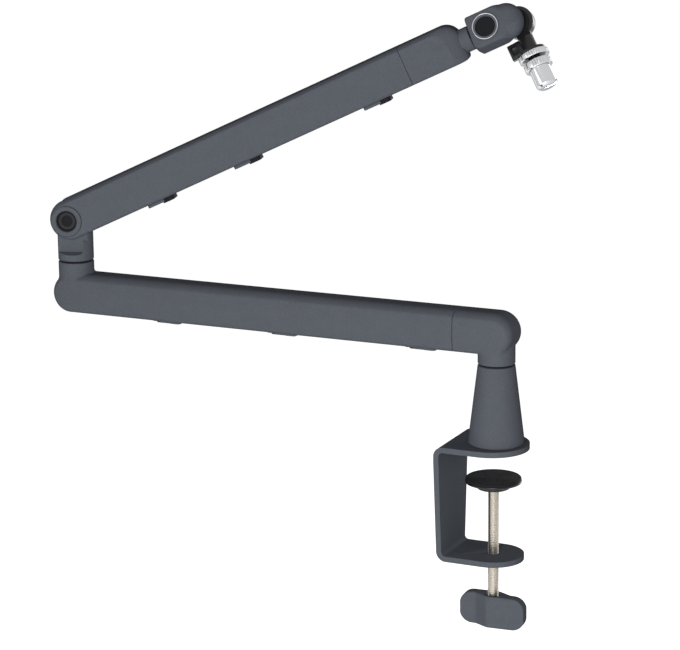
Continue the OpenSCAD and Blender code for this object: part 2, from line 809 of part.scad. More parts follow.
module pivot_bolt() {
    head_y = -beam_w / 2 + pivot_recess_h;
    color(dark) upper_frame() difference() {
        union() {
            rod_y(pivot_r, head_y - 1, beam_w / 2 - pivot_recess_h + 1.6);
            rod_y(pivot_recess_d / 2 - 0.4, head_y - bolt_head_h, head_y);
        }
        translate([0, head_y - bolt_head_h + 1.6, 0]) rotate([90, 0, 0]) cylinder(d = 6, h = 3, $fn = 6);
    }
}

module pivot_nut() {
    seat_y = beam_w / 2 - pivot_recess_h;
    color(dark) upper_frame() difference() {
        rod_y(pivot_recess_d / 2 - 0.4, seat_y, seat_y + bolt_head_h);
        rod_y(pivot_r + 0.02, seat_y - 1, seat_y + bolt_head_h - 0.7);
    }
}

module pivot_caps() {
    cap_out = beam_w / 2 - pivot_recess_h + bolt_head_h + cap_t;
    color(nylon) upper_frame() for (s = [-1, 1])
        rod_y(pivot_recess_d / 2 - 0.1, s > 0 ? cap_out - cap_t : -cap_out, s > 0 ? cap_out : -cap_out + cap_t);
}

module friction_washers() {
    in_y = tongue_t / 2 + seat_gap;
    color(nylon) upper_frame() for (s = [-1, 1]) difference() {
        rod_y(11, s > 0 ? in_y : -in_y - friction_t, s > 0 ? in_y + friction_t : -in_y);
        rod_y(pivot_r + 0.1, -beam_w, beam_w);
    }
}

module upper_end_casting() {
    half_w = beam_w / 2 - casting_plan_r;
    x0 = upper_beam_len;
    color(grey) upper_frame() difference() {
        union() {
            hull() {
                translate([x0, 0, 0]) bar(eps, beam_w, beam_h, beam_r, $fn = hull_fn);
                for (s = [-1, 1]) {
                    translate([casting_end_x - 11, s * half_w, beam_h / 2 - casting_top_r])
                        resize_ball(11, casting_plan_r, casting_top_r);
                    translate([casting_end_x - casting_plan_r, s * half_w, casting_low_r - beam_h / 2])
                        resize_ball(casting_plan_r, casting_plan_r, casting_low_r);
                }
            }
            translate([0, 0, -head_drop]) rod_x(wrist_r, casting_end_x - 12, casting_end_x + wrist_len);
        }
        translate([x0 - 1, 0, 0]) bar(elbow_pocket + 1, core_w, core_h, core_r);
        translate([0, 0, -head_drop]) rod_x(wrist_pin_r, casting_end_x + wrist_len - wrist_pin_in, casting_end_x + 20);
        plug_screw_places(x0) flat_screw_seat(plug_screw_d, plug_screw_head_d, plug_screw_head_h,
            plug_screw_l, 0.05);
    }
}

module resize_ball(rx, ry, rz) {
    scale([rx, ry, rz]) sphere(1, $fn = hull_fn);
}

module upper_plug() {
    color(steel) upper_frame() plug(upper_beam_len);
}

module upper_plug_screws() {
    color(dark) upper_frame() plug_screw_places(upper_beam_len) flat_screw(plug_screw_d,
        plug_screw_head_d, plug_screw_head_h, plug_screw_l, 2.5);
}

module upper_clips() {
    color(grey) upper_frame() clip_set(upper_clips_x, 1);
}

module upper_clip_tabs() {
    color(rubber) upper_frame() for (x = upper_clips_x) clip_tab(x, 1);
}

module upper_clip_screws() {
    color(dark) upper_frame() clip_screw_places(upper_clips_x, 1) flat_screw(clip_screw_d,
        clip_screw_head_d, clip_screw_head_h, clip_screw_l, clip_screw_key);
}

module wrist_pin() {
    color(steel) upper_frame() translate([0, 0, -head_drop]) difference() {
        rod_x(wrist_pin_r, casting_end_x + wrist_len - wrist_pin_in, head_x + wrist_pin_out);
        translate([head_x + boss_x, 0, 0]) rotate([0, 90, 0]) rotate_extrude()
            polygon([[wrist_pin_r - 0.8, -2], [wrist_pin_r + 1, -2], [wrist_pin_r + 1, 2],
                [wrist_pin_r - 0.8, 2]]);
    }
}

// Head

module wrist_washer() {
    color(dark) head_frame() rotate([0, 90, 0]) tube(wrist_r - 0.5, wrist_pin_r + 0.3,
        -seam_t - seat_gap, -seat_gap);
}

module head_housing() {
    soft = 5;
    block_x = 5.2;
    color(grey) head_frame() difference() {
        union() {
            hull() {
                for (x = [block_x, 15], z = [-1, 1]) translate([x, 0, z * (head_h / 2 - soft)])
                    rotate([90, 0, 0]) linear_extrude(head_t - 3, center = true) circle(soft, $fn = hull_fn);
                for (x = [block_x, 15], z = [-1, 1]) translate([x, 0, z * (head_h / 2 - soft)])
                    rotate([90, 0, 0]) linear_extrude(head_t, center = true)
                        circle(soft - 1.5, $fn = hull_fn);
                translate([dome_x, 0, 0]) resize_ball(dome_r, head_t / 2, dome_r);
            }
            translate([boss_x, 0, 0]) rod_y(boss_r, boss_face_y, 0);
            translate([hinge_x, 0, 0]) rod_y(7, 0, head_t / 2);
        }
        rod_x(wrist_pin_r + run_gap, -1, wrist_pin_out + 0.6);
        translate([boss_x, 0, 0]) rod_y(boss_recess_d / 2, boss_face_y - 1, boss_face_y + recess_h);
        translate([boss_x, 0, 0]) rod_y(tension_d / 2 + 0.05, boss_face_y, 0);
        translate([boss_x, 0, 0]) difference() {
            rod_y(boss_r - 0.6, boss_face_y - 1, boss_face_y + ring_h);
            rod_y(boss_r - 0.6 - ring_w, boss_face_y - 2, boss_face_y + ring_h + 1);
        }
        translate([hinge_x, 0, 0]) rod_y(hinge_screw_d / 2, -4, head_t);
    }
}

module boss_ring() {
    color(chrome) head_frame() translate([boss_x, 0, 0]) difference() {
        rod_y(boss_r - 0.65, boss_face_y - 0.3, boss_face_y + ring_h);
        rod_y(boss_r - 0.55 - ring_w, boss_face_y - 2, boss_face_y + ring_h + 1);
    }
}

module boss_cap() {
    color(nylon) head_frame() translate([boss_x, 0, 0])
        rod_y(boss_recess_d / 2 - 0.1, boss_face_y + recess_h - 1.4, boss_face_y + recess_h - 0.4);
}

module tension_screw() {
    color(steel) head_frame() translate([boss_x, 0, 0]) difference() {
        rod_y(tension_d / 2, boss_face_y + recess_h - 0.3, -wrist_pin_r - 1.6);
        translate([0, boss_face_y + recess_h + 1.4, 0]) rotate([90, 0, 0]) cylinder(d = 2.6, h = 2.4, $fn = 6);
    }
}

module tension_plug() {
    color("goldenrod") head_frame() translate([boss_x, 0, 0])
        rod_y(1.7, -wrist_pin_r - 1.6, -wrist_pin_r + 0.7);
}

// Shank, hinged behind the housing

module shank_rod(r, z0, z1) {
    translate([0, shank_y, z0]) cylinder(r = r, h = z1 - z0);
}

module mic_shank() {
    disc_r = hinge_disc_d / 2;
    color(dark) shank_frame() difference() {
        union() {
            rod_y(disc_r, hinge_y, hinge_y + hinge_disc_t);
            translate([0, hinge_y + hinge_disc_t / 2, shank_start / 2])
                cube([shank_d - 1, hinge_disc_t, shank_start], center = true);
            shank_rod(shank_r, shank_start, shank_len);
            shank_rod(flange_d / 2, shank_len, flange_end);
            shank_rod(stud_r, flange_end - 1, stud_end);
            translate([0, shank_y - eye_t / 2, shank_start])
                cube([shank_r + eye_w, eye_t, shank_len - shank_start + 0.5]);
        }
        translate([shank_r - 0.2, shank_y - eye_t, shank_start + eye_bar])
            cube([eye_w - eye_bar + 0.2, 2 * eye_t, shank_len - shank_start - eye_bar - 1.4]);
        rod_y(hinge_screw_d / 2 + run_gap, 0, hinge_y + 2 * hinge_disc_t);
        rod_y(hinge_screw_head_d / 2 + 0.2, hinge_y + hinge_disc_t - 3, hinge_y + 2 * hinge_disc_t);
    }
}

module hinge_screw() {
    top_y = hinge_y + hinge_disc_t - 0.5;
    color(steel) shank_frame() difference() {
        union() {
            rod_y(hinge_screw_d / 2, 0, top_y - 1);
            rod_y(hinge_screw_head_d / 2, hinge_y + hinge_disc_t - 3 + seat_gap, top_y);
        }
        translate([0, top_y + 1, 0]) rotate([90, 0, 0]) cylinder(d = 4, h = 2.4, $fn = 6);
    }
}

module hinge_washer() {
    color(dark) shank_frame() difference() {
        rod_y(9, head_t / 2 + seat_gap, head_t / 2 + seat_gap + seam_t);
        rod_y(hinge_screw_d / 2 + 0.2, 0, head_t);
    }
}

// Lock ring and thread adapter

module knurl(r, n, depth, z0, z1) {
    for (i = [0 : n - 1]) rotate([0, 0, i * 360 / n]) translate([r, 0, z0 - 1])
        rotate([0, 0, 45]) cube([depth, depth, 2 * (z1 - z0 + 2)], center = true);
}

module lock_ring() {
    notches = 36;
    r = lock_ring_d / 2;
    color(chrome) shank_frame() translate([0, shank_y, 0]) difference() {
        rotate_extrude($fn = 72) polygon([[stud_r + run_gap, ring_start], [r - 0.7, ring_start],
            [r, ring_start + 0.7], [r, ring_end - 0.7], [r - 0.7, ring_end], [stud_r + run_gap, ring_end]]);
        for (i = [0 : notches - 1]) rotate([0, 0, i * 360 / notches]) translate([r + 0.25, 0, ring_start - 1])
            rotate([0, 0, 45]) cube([0.9, 0.9, lock_ring_h + 2]);
    }
}

module thread_adapter() {
    collar = adapter_collar_d / 2;
    barrel = mic_thread_d / 2;
    slot_w = 2.2;
    notches = 30;
    color(chrome) shank_frame() translate([0, shank_y, 0]) difference() {
        rotate_extrude($fn = 72) polygon([[0, adapter_start], [collar - 0.6, adapter_start],
            [collar, adapter_start + 0.6], [collar, barrel_start - 0.8], [collar - 0.8, barrel_start],
            [barrel, barrel_start], [barrel, adapter_end - 1.6], [barrel - 1.6, adapter_end], [0, adapter_end]]);
        translate([0, 0, adapter_start - 1]) cylinder(r = stud_r + run_gap, h = stud_end - adapter_start + 1.6);
        translate([-collar, -slot_w / 2, adapter_end - 2.4]) cube([2 * collar, slot_w, 4]);
        for (i = [0 : notches - 1]) rotate([0, 0, i * 360 / notches])
            translate([collar + 0.25, 0, adapter_start - 1]) rotate([0, 0, 45])
                cube([0.9, 0.9, adapter_collar_h + 0.6]);
    }
}

clamp_frame();
post();
post_screws();
post_bush();
foot_cup();
foot_pad();
clamp_screw();
screw_handle();
handle_pin();
elbow_seam_washer();
elbow_casting();
elbow_pin();
elbow_plug();
elbow_plug_screws();
lower_beam();
lower_clips();
lower_clip_tabs();
lower_clip_screws();
knuckle_bush();
knuckle_seam_washer();
swivel_block();
swivel_pin();
swivel_pin_screw();
upper_beam();
pivot_bolt();
pivot_nut();
pivot_caps();
friction_washers();
upper_end_casting();
upper_plug();
upper_plug_screws();
upper_clips();
upper_clip_tabs();
upper_clip_screws();
wrist_pin();
wrist_washer();
head_housing();
boss_ring();
boss_cap();
tension_screw();
tension_plug();
mic_shank();
hinge_screw();
hinge_washer();
lock_ring();
thread_adapter();
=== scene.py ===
"""The looks of a desk-clamped microphone boom arm, built around its CAD frame.

Every size is in metres, in the frame of the CAD model: the post's axis is Z, and the desk face is at zero.
"""

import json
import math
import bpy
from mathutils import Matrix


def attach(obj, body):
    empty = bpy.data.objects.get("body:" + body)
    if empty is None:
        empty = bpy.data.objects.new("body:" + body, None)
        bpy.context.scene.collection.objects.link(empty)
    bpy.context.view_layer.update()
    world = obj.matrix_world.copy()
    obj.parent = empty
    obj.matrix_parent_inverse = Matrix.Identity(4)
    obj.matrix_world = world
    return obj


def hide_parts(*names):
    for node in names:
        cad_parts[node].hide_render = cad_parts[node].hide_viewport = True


bl_info = {
    "name": "Microphone boom arm",
    "version": (1, 0, 0),
    "blender": (4, 5, 0),
    "location": "View3D > Sidebar > Boom arm",
    "description": "Builds the visible pieces, finishes and stage of a microphone boom arm",
    "category": "Object",
}

import bmesh
import bpy
from bpy.props import FloatProperty, FloatVectorProperty, PointerProperty
from mathutils import Matrix, Vector

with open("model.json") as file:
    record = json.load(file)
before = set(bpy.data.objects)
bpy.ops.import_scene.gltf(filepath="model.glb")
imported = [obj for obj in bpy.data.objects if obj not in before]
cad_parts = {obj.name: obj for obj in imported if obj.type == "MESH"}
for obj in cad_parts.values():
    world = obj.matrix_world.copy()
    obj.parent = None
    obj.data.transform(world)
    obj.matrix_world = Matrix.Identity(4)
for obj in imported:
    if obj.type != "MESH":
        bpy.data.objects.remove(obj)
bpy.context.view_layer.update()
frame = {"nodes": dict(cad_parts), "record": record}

MM = 0.001
RIGHT = math.pi / 2
ACROSS = Matrix.Rotation(RIGHT, 4, "X")
SHARP_ANGLE = 0.42
WELD = 1e-6
NODES = frame["nodes"]
JOINTS = {joint["name"]: joint for joint in frame["record"]["behaviour"]["joints"]}


# Frames of the moving pieces, read from the joints


def joint_point(name):
    return Vector(JOINTS[name]["pos_m"])


def joint_axis(name):
    return Vector(JOINTS[name]["axis"]).normalized()


def own_frame(origin, x_axis, y_axis):
    """The matrix that takes a piece from its own frame to the arm's."""
    matrix = Matrix((x_axis, y_axis, x_axis.cross(y_axis))).transposed().to_4x4()
    matrix.translation = origin
    return matrix


def reach(node, place=Matrix.Identity(4)):
    """Lowest and highest corner of a CAD node in a piece's own frame."""
    back = place.inverted()
    points = [back @ vertex.co for vertex in NODES[node].data.vertices]
    low = Vector(min(point[i] for point in points) for i in range(3))
    high = Vector(max(point[i] for point in points) for i in range(3))
    return low, high


UP = Vector((0, 0, 1))
DESK = Matrix.Identity(4)
SCREW = Matrix.Translation((joint_point("clamp_screw_turn").x, 0, 0))

SWING = joint_point("upper_arm_swing")
TILT = joint_point("upper_arm_tilt")
arm_way = Vector((SWING.x, SWING.y, 0)).normalized()
LOWER = own_frame(Vector((0, 0, 0)), arm_way, UP.cross(arm_way))
LOWER.translation.z = (reach("elbow_plug")[0].z + reach("elbow_plug")[1].z) / 2

tilt_y = -joint_axis("upper_arm_tilt")
fold_y = -joint_axis("shank_fold")
KNUCKLE = own_frame(Vector((SWING.x, SWING.y, 0)), tilt_y.cross(UP), tilt_y)
UPPER = own_frame(TILT, joint_axis("head_turn"), tilt_y)
HEAD = own_frame(joint_point("head_turn"), joint_axis("head_turn"), fold_y)
SHANK = own_frame(joint_point("shank_fold"), fold_y.cross(joint_axis("adapter_turn")), fold_y)

# Sizes that the CAD frame already holds

ELBOW_BOX = reach("elbow_casting", LOWER)
LOWER_BOX = reach("lower_beam", LOWER)
UPPER_BOX = reach("upper_beam", UPPER)
CASTING_BOX = reach("upper_end_casting", UPPER)
HOUSING_BOX = reach("head_housing", HEAD)


# Sizes and colours a user may change


class BoomArmSizes(bpy.types.PropertyGroup):
    """Sizes of the visible pieces."""

    beam_width: FloatProperty(
        name="Beam width", description="Width of both beams between their flat sides",
        default=29 * MM, min=0.02, max=0.04, unit="LENGTH")
    beam_height: FloatProperty(
        name="Beam height", description="Height of both beams",
        default=30 * MM, min=0.02, max=0.04, unit="LENGTH")
    lower_corner: FloatProperty(
        name="Lower beam corner", description="Radius of the lower beam's two upper corners",
        default=11 * MM, min=0.004, max=0.014, unit="LENGTH")
    upper_corner: FloatProperty(
        name="Upper beam corner", description="Radius of the upper beam's two upper corners",
        default=9 * MM, min=0.004, max=0.014, unit="LENGTH")
    handle_turn: FloatProperty(
        name="Handle angle", description="How far the wing handle is turned",
        default=math.radians(4), min=-3.2, max=3.2, subtype="ANGLE")
    neck_radius: FloatProperty(
        name="Neck radius", description="Radius of the round necks that turn on the post and the knuckle",
        default=13.3 * MM, min=0.01, max=0.014, unit="LENGTH")
    seam: FloatProperty(
        name="Seam", description="Chamfer and gap at the seams between the pieces",
        default=0.35 * MM, min=0.0001, max=0.001, unit="LENGTH")
    soft_edge: FloatProperty(
        name="Soft edge", description="Rounding that the coat gives to sharp metal edges",
        default=0.5 * MM, min=0.0001, max=0.002, unit="LENGTH")
    clamp_pitch: FloatProperty(
        name="Clamp screw pitch", description="Rise of the clamp screw in one turn",
        default=1.25 * MM, min=0.0005, max=0.003, unit="LENGTH")


class BoomArmColours(bpy.types.PropertyGroup):
    """Colours of the finishes."""

    coat: FloatVectorProperty(
        name="Coat", description="Colour of the powder coat", subtype="COLOR", size=3,
        default=(0.090, 0.098, 0.114), min=0, max=1)
    black: FloatVectorProperty(
        name="Black metal", description="Colour of the glossy black shank", subtype="COLOR", size=3,
        default=(0.010, 0.010, 0.011), min=0, max=1)
    plastic: FloatVectorProperty(
        name="Plastic", description="Colour of caps and bushes", subtype="COLOR", size=3,
        default=(0.012, 0.0125, 0.0145), min=0, max=1)
    rubber: FloatVectorProperty(
        name="Rubber", description="Colour of the foot's disc and the clips' tabs", subtype="COLOR", size=3,
        default=(0.014, 0.014, 0.016), min=0, max=1)
    steel: FloatVectorProperty(
        name="Steel", description="Colour of the plated clamp screw", subtype="COLOR", size=3,
        default=(0.60, 0.56, 0.50), min=0, max=1)
    chrome: FloatVectorProperty(
        name="Chrome", description="Colour of the bright rings and the adapter", subtype="COLOR", size=3,
        default=(0.58, 0.585, 0.60), min=0, max=1)
    brass: FloatVectorProperty(
        name="Brass", description="Colour of the brake plug", subtype="COLOR", size=3,
        default=(0.60, 0.42, 0.16), min=0, max=1)
    floor: FloatVectorProperty(
        name="Floor", description="Colour of the floor", subtype="COLOR", size=3,
        default=(0.86, 0.86, 0.86), min=0, max=1)


# Finishes


class Value:
    """A shader socket that takes part in Python sums."""

    def __init__(self, finish, socket):
        self.finish, self.socket = finish, socket

    def maths(self, operation, first, second):
        return self.finish.node("ShaderNodeMath", {"operation": operation}, first, second)

    def __add__(self, other):
        return self.maths("ADD", self, other)

    def __mul__(self, other):
        return self.maths("MULTIPLY", self, other)

    __radd__ = __add__
    __rmul__ = __mul__


class Finish:
    """A material's or world's node tree that is built from expressions."""

    def __init__(self, owner):
        owner.use_nodes = True
        self.tree = owner.node_tree
        self.tree.nodes.clear()

    def raw(self, kind, settings=None, inputs=()):
        node = self.tree.nodes.new(kind)
        for key, setting in (settings or {}).items():
            setattr(node, key, setting)
        pairs = inputs.items() if isinstance(inputs, dict) else enumerate(inputs)
        for key, value in pairs:
            if isinstance(value, Value):
                self.tree.links.new(value.socket, node.inputs[key])
            else:
                node.inputs[key].default_value = value
        return node

    def node(self, kind, settings=None, *inputs, output=0, **named):
        made = self.raw(kind, settings, named or inputs)
        return Value(self, made.outputs[output])

    def noise(self, grain, detail=2.0, roughness=0.5):
        """Noise with blots of about the given size."""
        place = self.node("ShaderNodeTexCoord", output="Object")
        return self.node("ShaderNodeTexNoise", output="Fac", Vector=place, Scale=1 / grain, Detail=detail,
                         Roughness=roughness)

    def shades(self, share, colour, darker, lighter):
        share_input, first_input, second_input, colour_output = 0, 6, 7, 2
        inputs = {share_input: share, first_input: tint(colour, darker), second_input: tint(colour, lighter)}
        return Value(self, self.raw("ShaderNodeMix", {"data_type": "RGBA"}, inputs).outputs[colour_output])

    def bump(self, height, depth, strength):
        return self.node("ShaderNodeBump", Height=height, Distance=depth, Strength=strength)

    def seen(self):
        """One for rays that show a surface, direct, mirrored or through glass, and nought for light."""
        path = self.raw("ShaderNodeLightPath")
        seen = Value(self, path.outputs["Is Camera Ray"])
        for ray in ("Is Glossy Ray", "Is Transmission Ray"):
            seen = seen.maths("MAXIMUM", seen, Value(self, path.outputs[ray]))
        return seen

    def surface(self, **sockets):
        named = {key.replace("_", " "): value for key, value in sockets.items()}
        shader = self.node("ShaderNodeBsdfPrincipled", **named)
        self.raw("ShaderNodeOutputMaterial", None, (shader,))


def tint(colour, factor):
    return (*[min(channel * factor, 1) for channel in colour], 1)


def new_finish(name):
    material = bpy.data.materials.new(name)
    return material, Finish(material)


def powder_coat(colour):
    """Fine-grained powder coat: a bumpy, dull skin with faint clouds in its colour."""
    material, finish = new_finish("powder_coat")
    grain = finish.noise(0.55 * MM, detail=3, roughness=0.6)
    cloud = finish.noise(9 * MM)
    speck = finish.node("ShaderNodeMapRange", Value=grain, **{"From Min": 0.35, "From Max": 0.68})
    shade = speck * 0.7 + cloud * 0.3
    finish.surface(Base_Color=finish.shades(shade, colour, 0.82, 1.18), Roughness=0.46 + 0.16 * grain,
                   Specular_IOR_Level=0.0, Normal=finish.bump(grain, depth=0.07 * MM, strength=0.4))
    return material


def black_gloss(colour):
    """Burnished black metal."""
    material, finish = new_finish("black_gloss")
    haze = finish.noise(3 * MM, detail=3)
    grain = finish.noise(1.2 * MM)
    finish.surface(Base_Color=finish.shades(haze, colour, 0.8, 1.4), Roughness=0.24 + 0.1 * haze,
                   Specular_IOR_Level=0.28, Normal=finish.bump(grain, depth=0.02 * MM, strength=0.2))
    return material


def matte_black(name, colour, grain):
    """Moulded plastic or rubber with a fine skin."""
    material, finish = new_finish(name)
    skin = finish.noise(grain, detail=3)
    finish.surface(Base_Color=finish.shades(skin, colour, 0.75, 1.35), Roughness=0.52 + 0.2 * skin,
                   Specular_IOR_Level=0.05, Normal=finish.bump(skin, depth=0.08 * MM, strength=0.35))
    return material


def bright_metal(name, colour, roughness, scratch):
    """Plated metal with faint turning marks and clouds in its polish."""
    material, finish = new_finish(name)
    cloud = finish.noise(2.5 * MM, detail=3)
    marks = finish.noise(scratch)
    edge_tint = (0.35, 0.35, 0.36, 1)
    finish.surface(Base_Color=finish.shades(cloud, colour, 0.95, 1.03), Metallic=1.0,
                   Specular_Tint=edge_tint, Roughness=roughness + 0.10 * marks,
                   Normal=finish.bump(marks, depth=0.01 * MM, strength=0.25))
    return material


# Mesh building


def outline(step, steps, half_y, half_z, arc, slant):
    """A point on a beam's outline: flat sides, and corners that leave them at a slant."""
    corner, within = divmod(step % steps, steps // 4)
    if within == 0:
        return ((half_y, 0), (0, half_z), (-half_y, 0), (0, -half_z))[corner]
    share = (within - 1) / (steps // 4 - 2)
    rise = share if corner in (0, 2) else 1 - share
    angle = slant + rise * (RIGHT - slant)
    y = half_y - arc * math.cos(slant) + arc * math.cos(angle)
    z = half_z - arc + arc * math.sin(angle)
    return (y if corner in (0, 3) else -y, z if corner in (0, 1) else -z)


def bend_ring(ring, x, half_y, half_z, arc, slant=0.0, y=0.0, z=0.0):
    for step, vertex in enumerate(ring):
        side, rise = outline(step, len(ring), half_y, half_z, arc, slant)
        vertex.co = (x, side + y, rise + z)


def edges_between(bm, chain, following):
    return [bm.edges.get(pair) for pair in zip(chain, following)]


def next_chain(bm, chain, edges):
    """Extrudes the edges of a chain of vertices and returns the new chain in the same order."""
    made = bmesh.ops.extrude_edge_only(bm, edges=edges)
    new = {item for item in made["geom"] if isinstance(item, bmesh.types.BMVert)}
    return [next(edge.other_vert(vertex) for edge in vertex.link_edges if edge.other_vert(vertex) in new)
            for vertex in chain]


def next_ring(bm, ring):
    return next_chain(bm, ring, edges_between(bm, ring, ring[1:] + ring[:1]))


def cap_ring(bm, ring):
    bmesh.ops.contextual_create(bm, geom=edges_between(bm, ring, ring[1:] + ring[:1]))


def skin(bm, stations, steps=56):
    """Draws a closed tube; a station is (x, half_y, half_z, arc, slant, y, z) or a start of that."""
    first = ring = bmesh.ops.create_circle(bm, cap_ends=False, segments=steps, radius=1)["verts"]
    bend_ring(ring, *stations[0])
    for station in stations[1:]:
        ring = next_ring(bm, ring)
        bend_ring(ring, *station)
    cap_ring(bm, first)
    cap_ring(bm, ring)


def quarter(half_y, half_z, arc, slant, crown, inset=0.0):
    """A quarter of a beam's outline: a crowned side, a crease, an arc and half of the flat top."""
    half_y, half_z = half_y - inset, half_z - inset
    crease_z = half_z - arc + arc * math.sin(slant)
    edge_y = half_y - crown
    soft, arc_steps = 0.25 * MM, 8
    points = [(half_y - crown * share ** 2, crease_z * share) for share in (0, 0.35, 0.65, 0.85)]
    points.append((edge_y + crown * 2 * soft / crease_z, crease_z - soft))
    for step in range(arc_steps + 1):
        angle = slant + soft / arc + (RIGHT - slant - soft / arc) * step / arc_steps
        y = edge_y - arc * math.cos(slant) + arc * math.cos(angle)
        points.append((y, half_z - arc + arc * math.sin(angle)))
    flat = points[-1][0]
    return points + [(flat / 2, half_z), (0, half_z)]


def quarter_turn(centre_x, centre_z, radius, start, steps):
    """Points of a quarter of a circle from a start angle."""
    angles = [start + RIGHT * step / steps for step in range(steps + 1)]
    return [(centre_x + radius * math.cos(angle), centre_z + radius * math.sin(angle)) for angle in angles]


def section(top, low, inset=0.0):
    """A beam's whole outline, counted from the middle of its +Y side over the top."""
    over, under = quarter(*top, inset), quarter(*low, inset)
    ring = over + [(-y, z) for y, z in over[-2::-1]]
    return ring + [(-y, -z) for y, z in under[1:]] + [(y, -z) for y, z in under[-2:0:-1]]


def put_ring(ring, x, points):
    for vertex, (y, z) in zip(ring, points):
        vertex.co = (x, y, z)


def beam(bm, stations):
    """Draws a beam through (x, outline) stations, closed at its start, and returns its last ring."""
    ring = bmesh.ops.create_circle(bm, cap_ends=False, segments=len(stations[0][1]), radius=1)["verts"]
    put_ring(ring, *stations[0])
    cap_ring(bm, ring)
    for station in stations[1:]:
        ring = next_ring(bm, ring)
        put_ring(ring, *station)
    return ring


def round_off(bm, ring, x, way, bulge, steps=30):
    """Closes a beam with half of its outline, swung about the cross axis at x from top to underside."""
    count = len(ring) // 2
    chain = ring[:count + 1]
    over = [vertex.co.copy() for vertex in chain]
    under = [ring[-step % len(ring)].co.copy() for step in range(count + 1)]
    for step in range(1, steps + 1):
        angle = math.pi * step / steps
        share = step / steps
        chain = next_chain(bm, chain, edges_between(bm, chain, chain[1:]))
        for vertex, high, deep in zip(chain, over, under):
            far = (1 - share) * high.z - share * deep.z
            far += bulge * math.sin(angle) * far / over[count // 2].z
            y = (1 - share) * high.y + share * deep.y
            vertex.co = (x + way * far * math.sin(angle), y, far * math.cos(angle))
    bmesh.ops.remove_doubles(bm, verts=bm.verts[:], dist=WELD)


def side_height(y, form):
    """How far a beam's surface lies above its middle at a distance from the mid plane."""
    half_y, half_z, arc, slant, crown = form
    y = abs(y)
    edge_y = half_y - crown
    centre_y = edge_y - arc * math.cos(slant)
    if y <= centre_y:
        return half_z
    if y <= edge_y:
        return half_z - arc + math.sqrt(max(arc ** 2 - (y - centre_y) ** 2, 0))
    crease_z = half_z - arc + arc * math.sin(slant)
    return crease_z * math.sqrt(max((half_y - y) / crown, 0))


def neck(bm, x, end, radius, form, way, out, bulge):
    """A round neck that leaves a beam's round end with a small fillet.

    Its way is 1 for up or -1 for down, and out says the same of the end's side along X.
    """
    rim, margin = 0.3 * MM, 0.32 * MM
    ring = bmesh.ops.create_circle(bm, cap_ends=False, segments=72, radius=1)["verts"]
    cap_ring(bm, ring)
    rings = [(radius - rim, end, None), (radius, end - way * rim, None)]
    for wider, lift in ((0, 2.0), (0.15, 1.2), (0.5, 0.5), (1.2, 0.05), (1.6, -0.3)):
        rings.append((radius + wider * MM, 0, lift * MM))
    for number, (reach_r, height, lift) in enumerate(rings):
        if number:
            ring = next_ring(bm, ring)
        for step, vertex in enumerate(ring):
            angle = 2 * math.pi * step / len(ring)
            point_x, point_y = reach_r * math.cos(angle), reach_r * math.sin(angle)
            if lift is not None:
                point_y = max(-form[0] + margin, min(form[0] - margin, point_y))
                tall = side_height(point_y, form)
                beyond = max(point_x * out, 0)
                if beyond:
                    full = tall * (1 + bulge / form[1])
                    tall = tall * math.sqrt(max(1 - (beyond / full) ** 2, 0)) if full > 0 else 0
                height = way * (tall + lift)
            vertex.co = (x + point_x, point_y, height)
    cap_ring(bm, ring)


def turn(bm, profile, steps=72, place=DESK):
    """Spins a profile of (radius, height) points about Z."""
    chain = [bm.verts.new(place @ Vector((radius, 0, height))) for radius, height in profile]
    edges = [bm.edges.new(pair) for pair in zip(chain, chain[1:])]
    axis = place.to_3x3() @ UP
    bmesh.ops.spin(bm, geom=chain + edges, cent=place.translation, axis=axis, angle=2 * math.pi,
                   steps=steps, use_merge=True, use_duplicate=False)
    bmesh.ops.remove_doubles(bm, verts=bm.verts[:], dist=0.1 * WELD)


def turned(profile, steps=72, place=DESK):
    """A new mesh with one spun profile."""
    bm = bmesh.new()
    turn(bm, profile, steps, place)
    return bm


def cylinder(radius, low, high):
    """The profile of a plain cylinder."""
    return [(0, low), (radius, low), (radius, high), (0, high)]


def block(bm, low, high):
    """A box between two corners."""
    low, high = Vector(low), Vector(high)
    place = Matrix.Translation((low + high) / 2) @ Matrix.Diagonal((*(high - low), 1))
    bmesh.ops.create_cube(bm, size=1, matrix=place)


def soften(bm, width, segments=2, above=0.5, edges=None):
    """Rounds the given edges, or all whose faces meet at more than the angle above."""
    bmesh.ops.recalc_face_normals(bm, faces=bm.faces[:])
    if edges is None:
        edges = [edge for edge in bm.edges if len(edge.link_faces) == 2 and edge.calc_face_angle(0) > above]
    bmesh.ops.bevel(bm, geom=edges, offset=width, offset_type="OFFSET", affect="EDGES", segments=segments,
                    profile=0.5, material=-1, clamp_overlap=True)


def thread(bm, radius, depth, pitch, low, high, steps=22):
    """A screw thread along Z with flat ends."""
    turns = math.ceil((high - low) / pitch) + 2
    start = low - pitch
    core = radius - depth
    tooth = ((core, 0), (core, 0.14), (radius, 0.43), (radius, 0.58), (core, 0.86), (core, 1))
    chain = [bm.verts.new((out, 0, start + share * pitch)) for out, share in tooth]
    edges = [bm.edges.new(pair) for pair in zip(chain, chain[1:])]
    bmesh.ops.spin(bm, geom=chain + edges, cent=(0, 0, 0), axis=(0, 0, 1), dvec=(0, 0, pitch / steps),
                   angle=turns * 2 * math.pi, steps=turns * steps, use_merge=False, use_duplicate=False)
    bmesh.ops.remove_doubles(bm, verts=bm.verts[:], dist=WELD)
    for height, way in ((low, -1), (high, 1)):
        geom = bm.verts[:] + bm.edges[:] + bm.faces[:]
        cut = bmesh.ops.bisect_plane(bm, geom=geom, plane_co=(0, 0, height), plane_no=(0, 0, way),
                                     clear_outer=True)
        rim = [item for item in cut["geom_cut"] if isinstance(item, bmesh.types.BMEdge)]
        bmesh.ops.contextual_create(bm, geom=rim)


FINISHES = {}


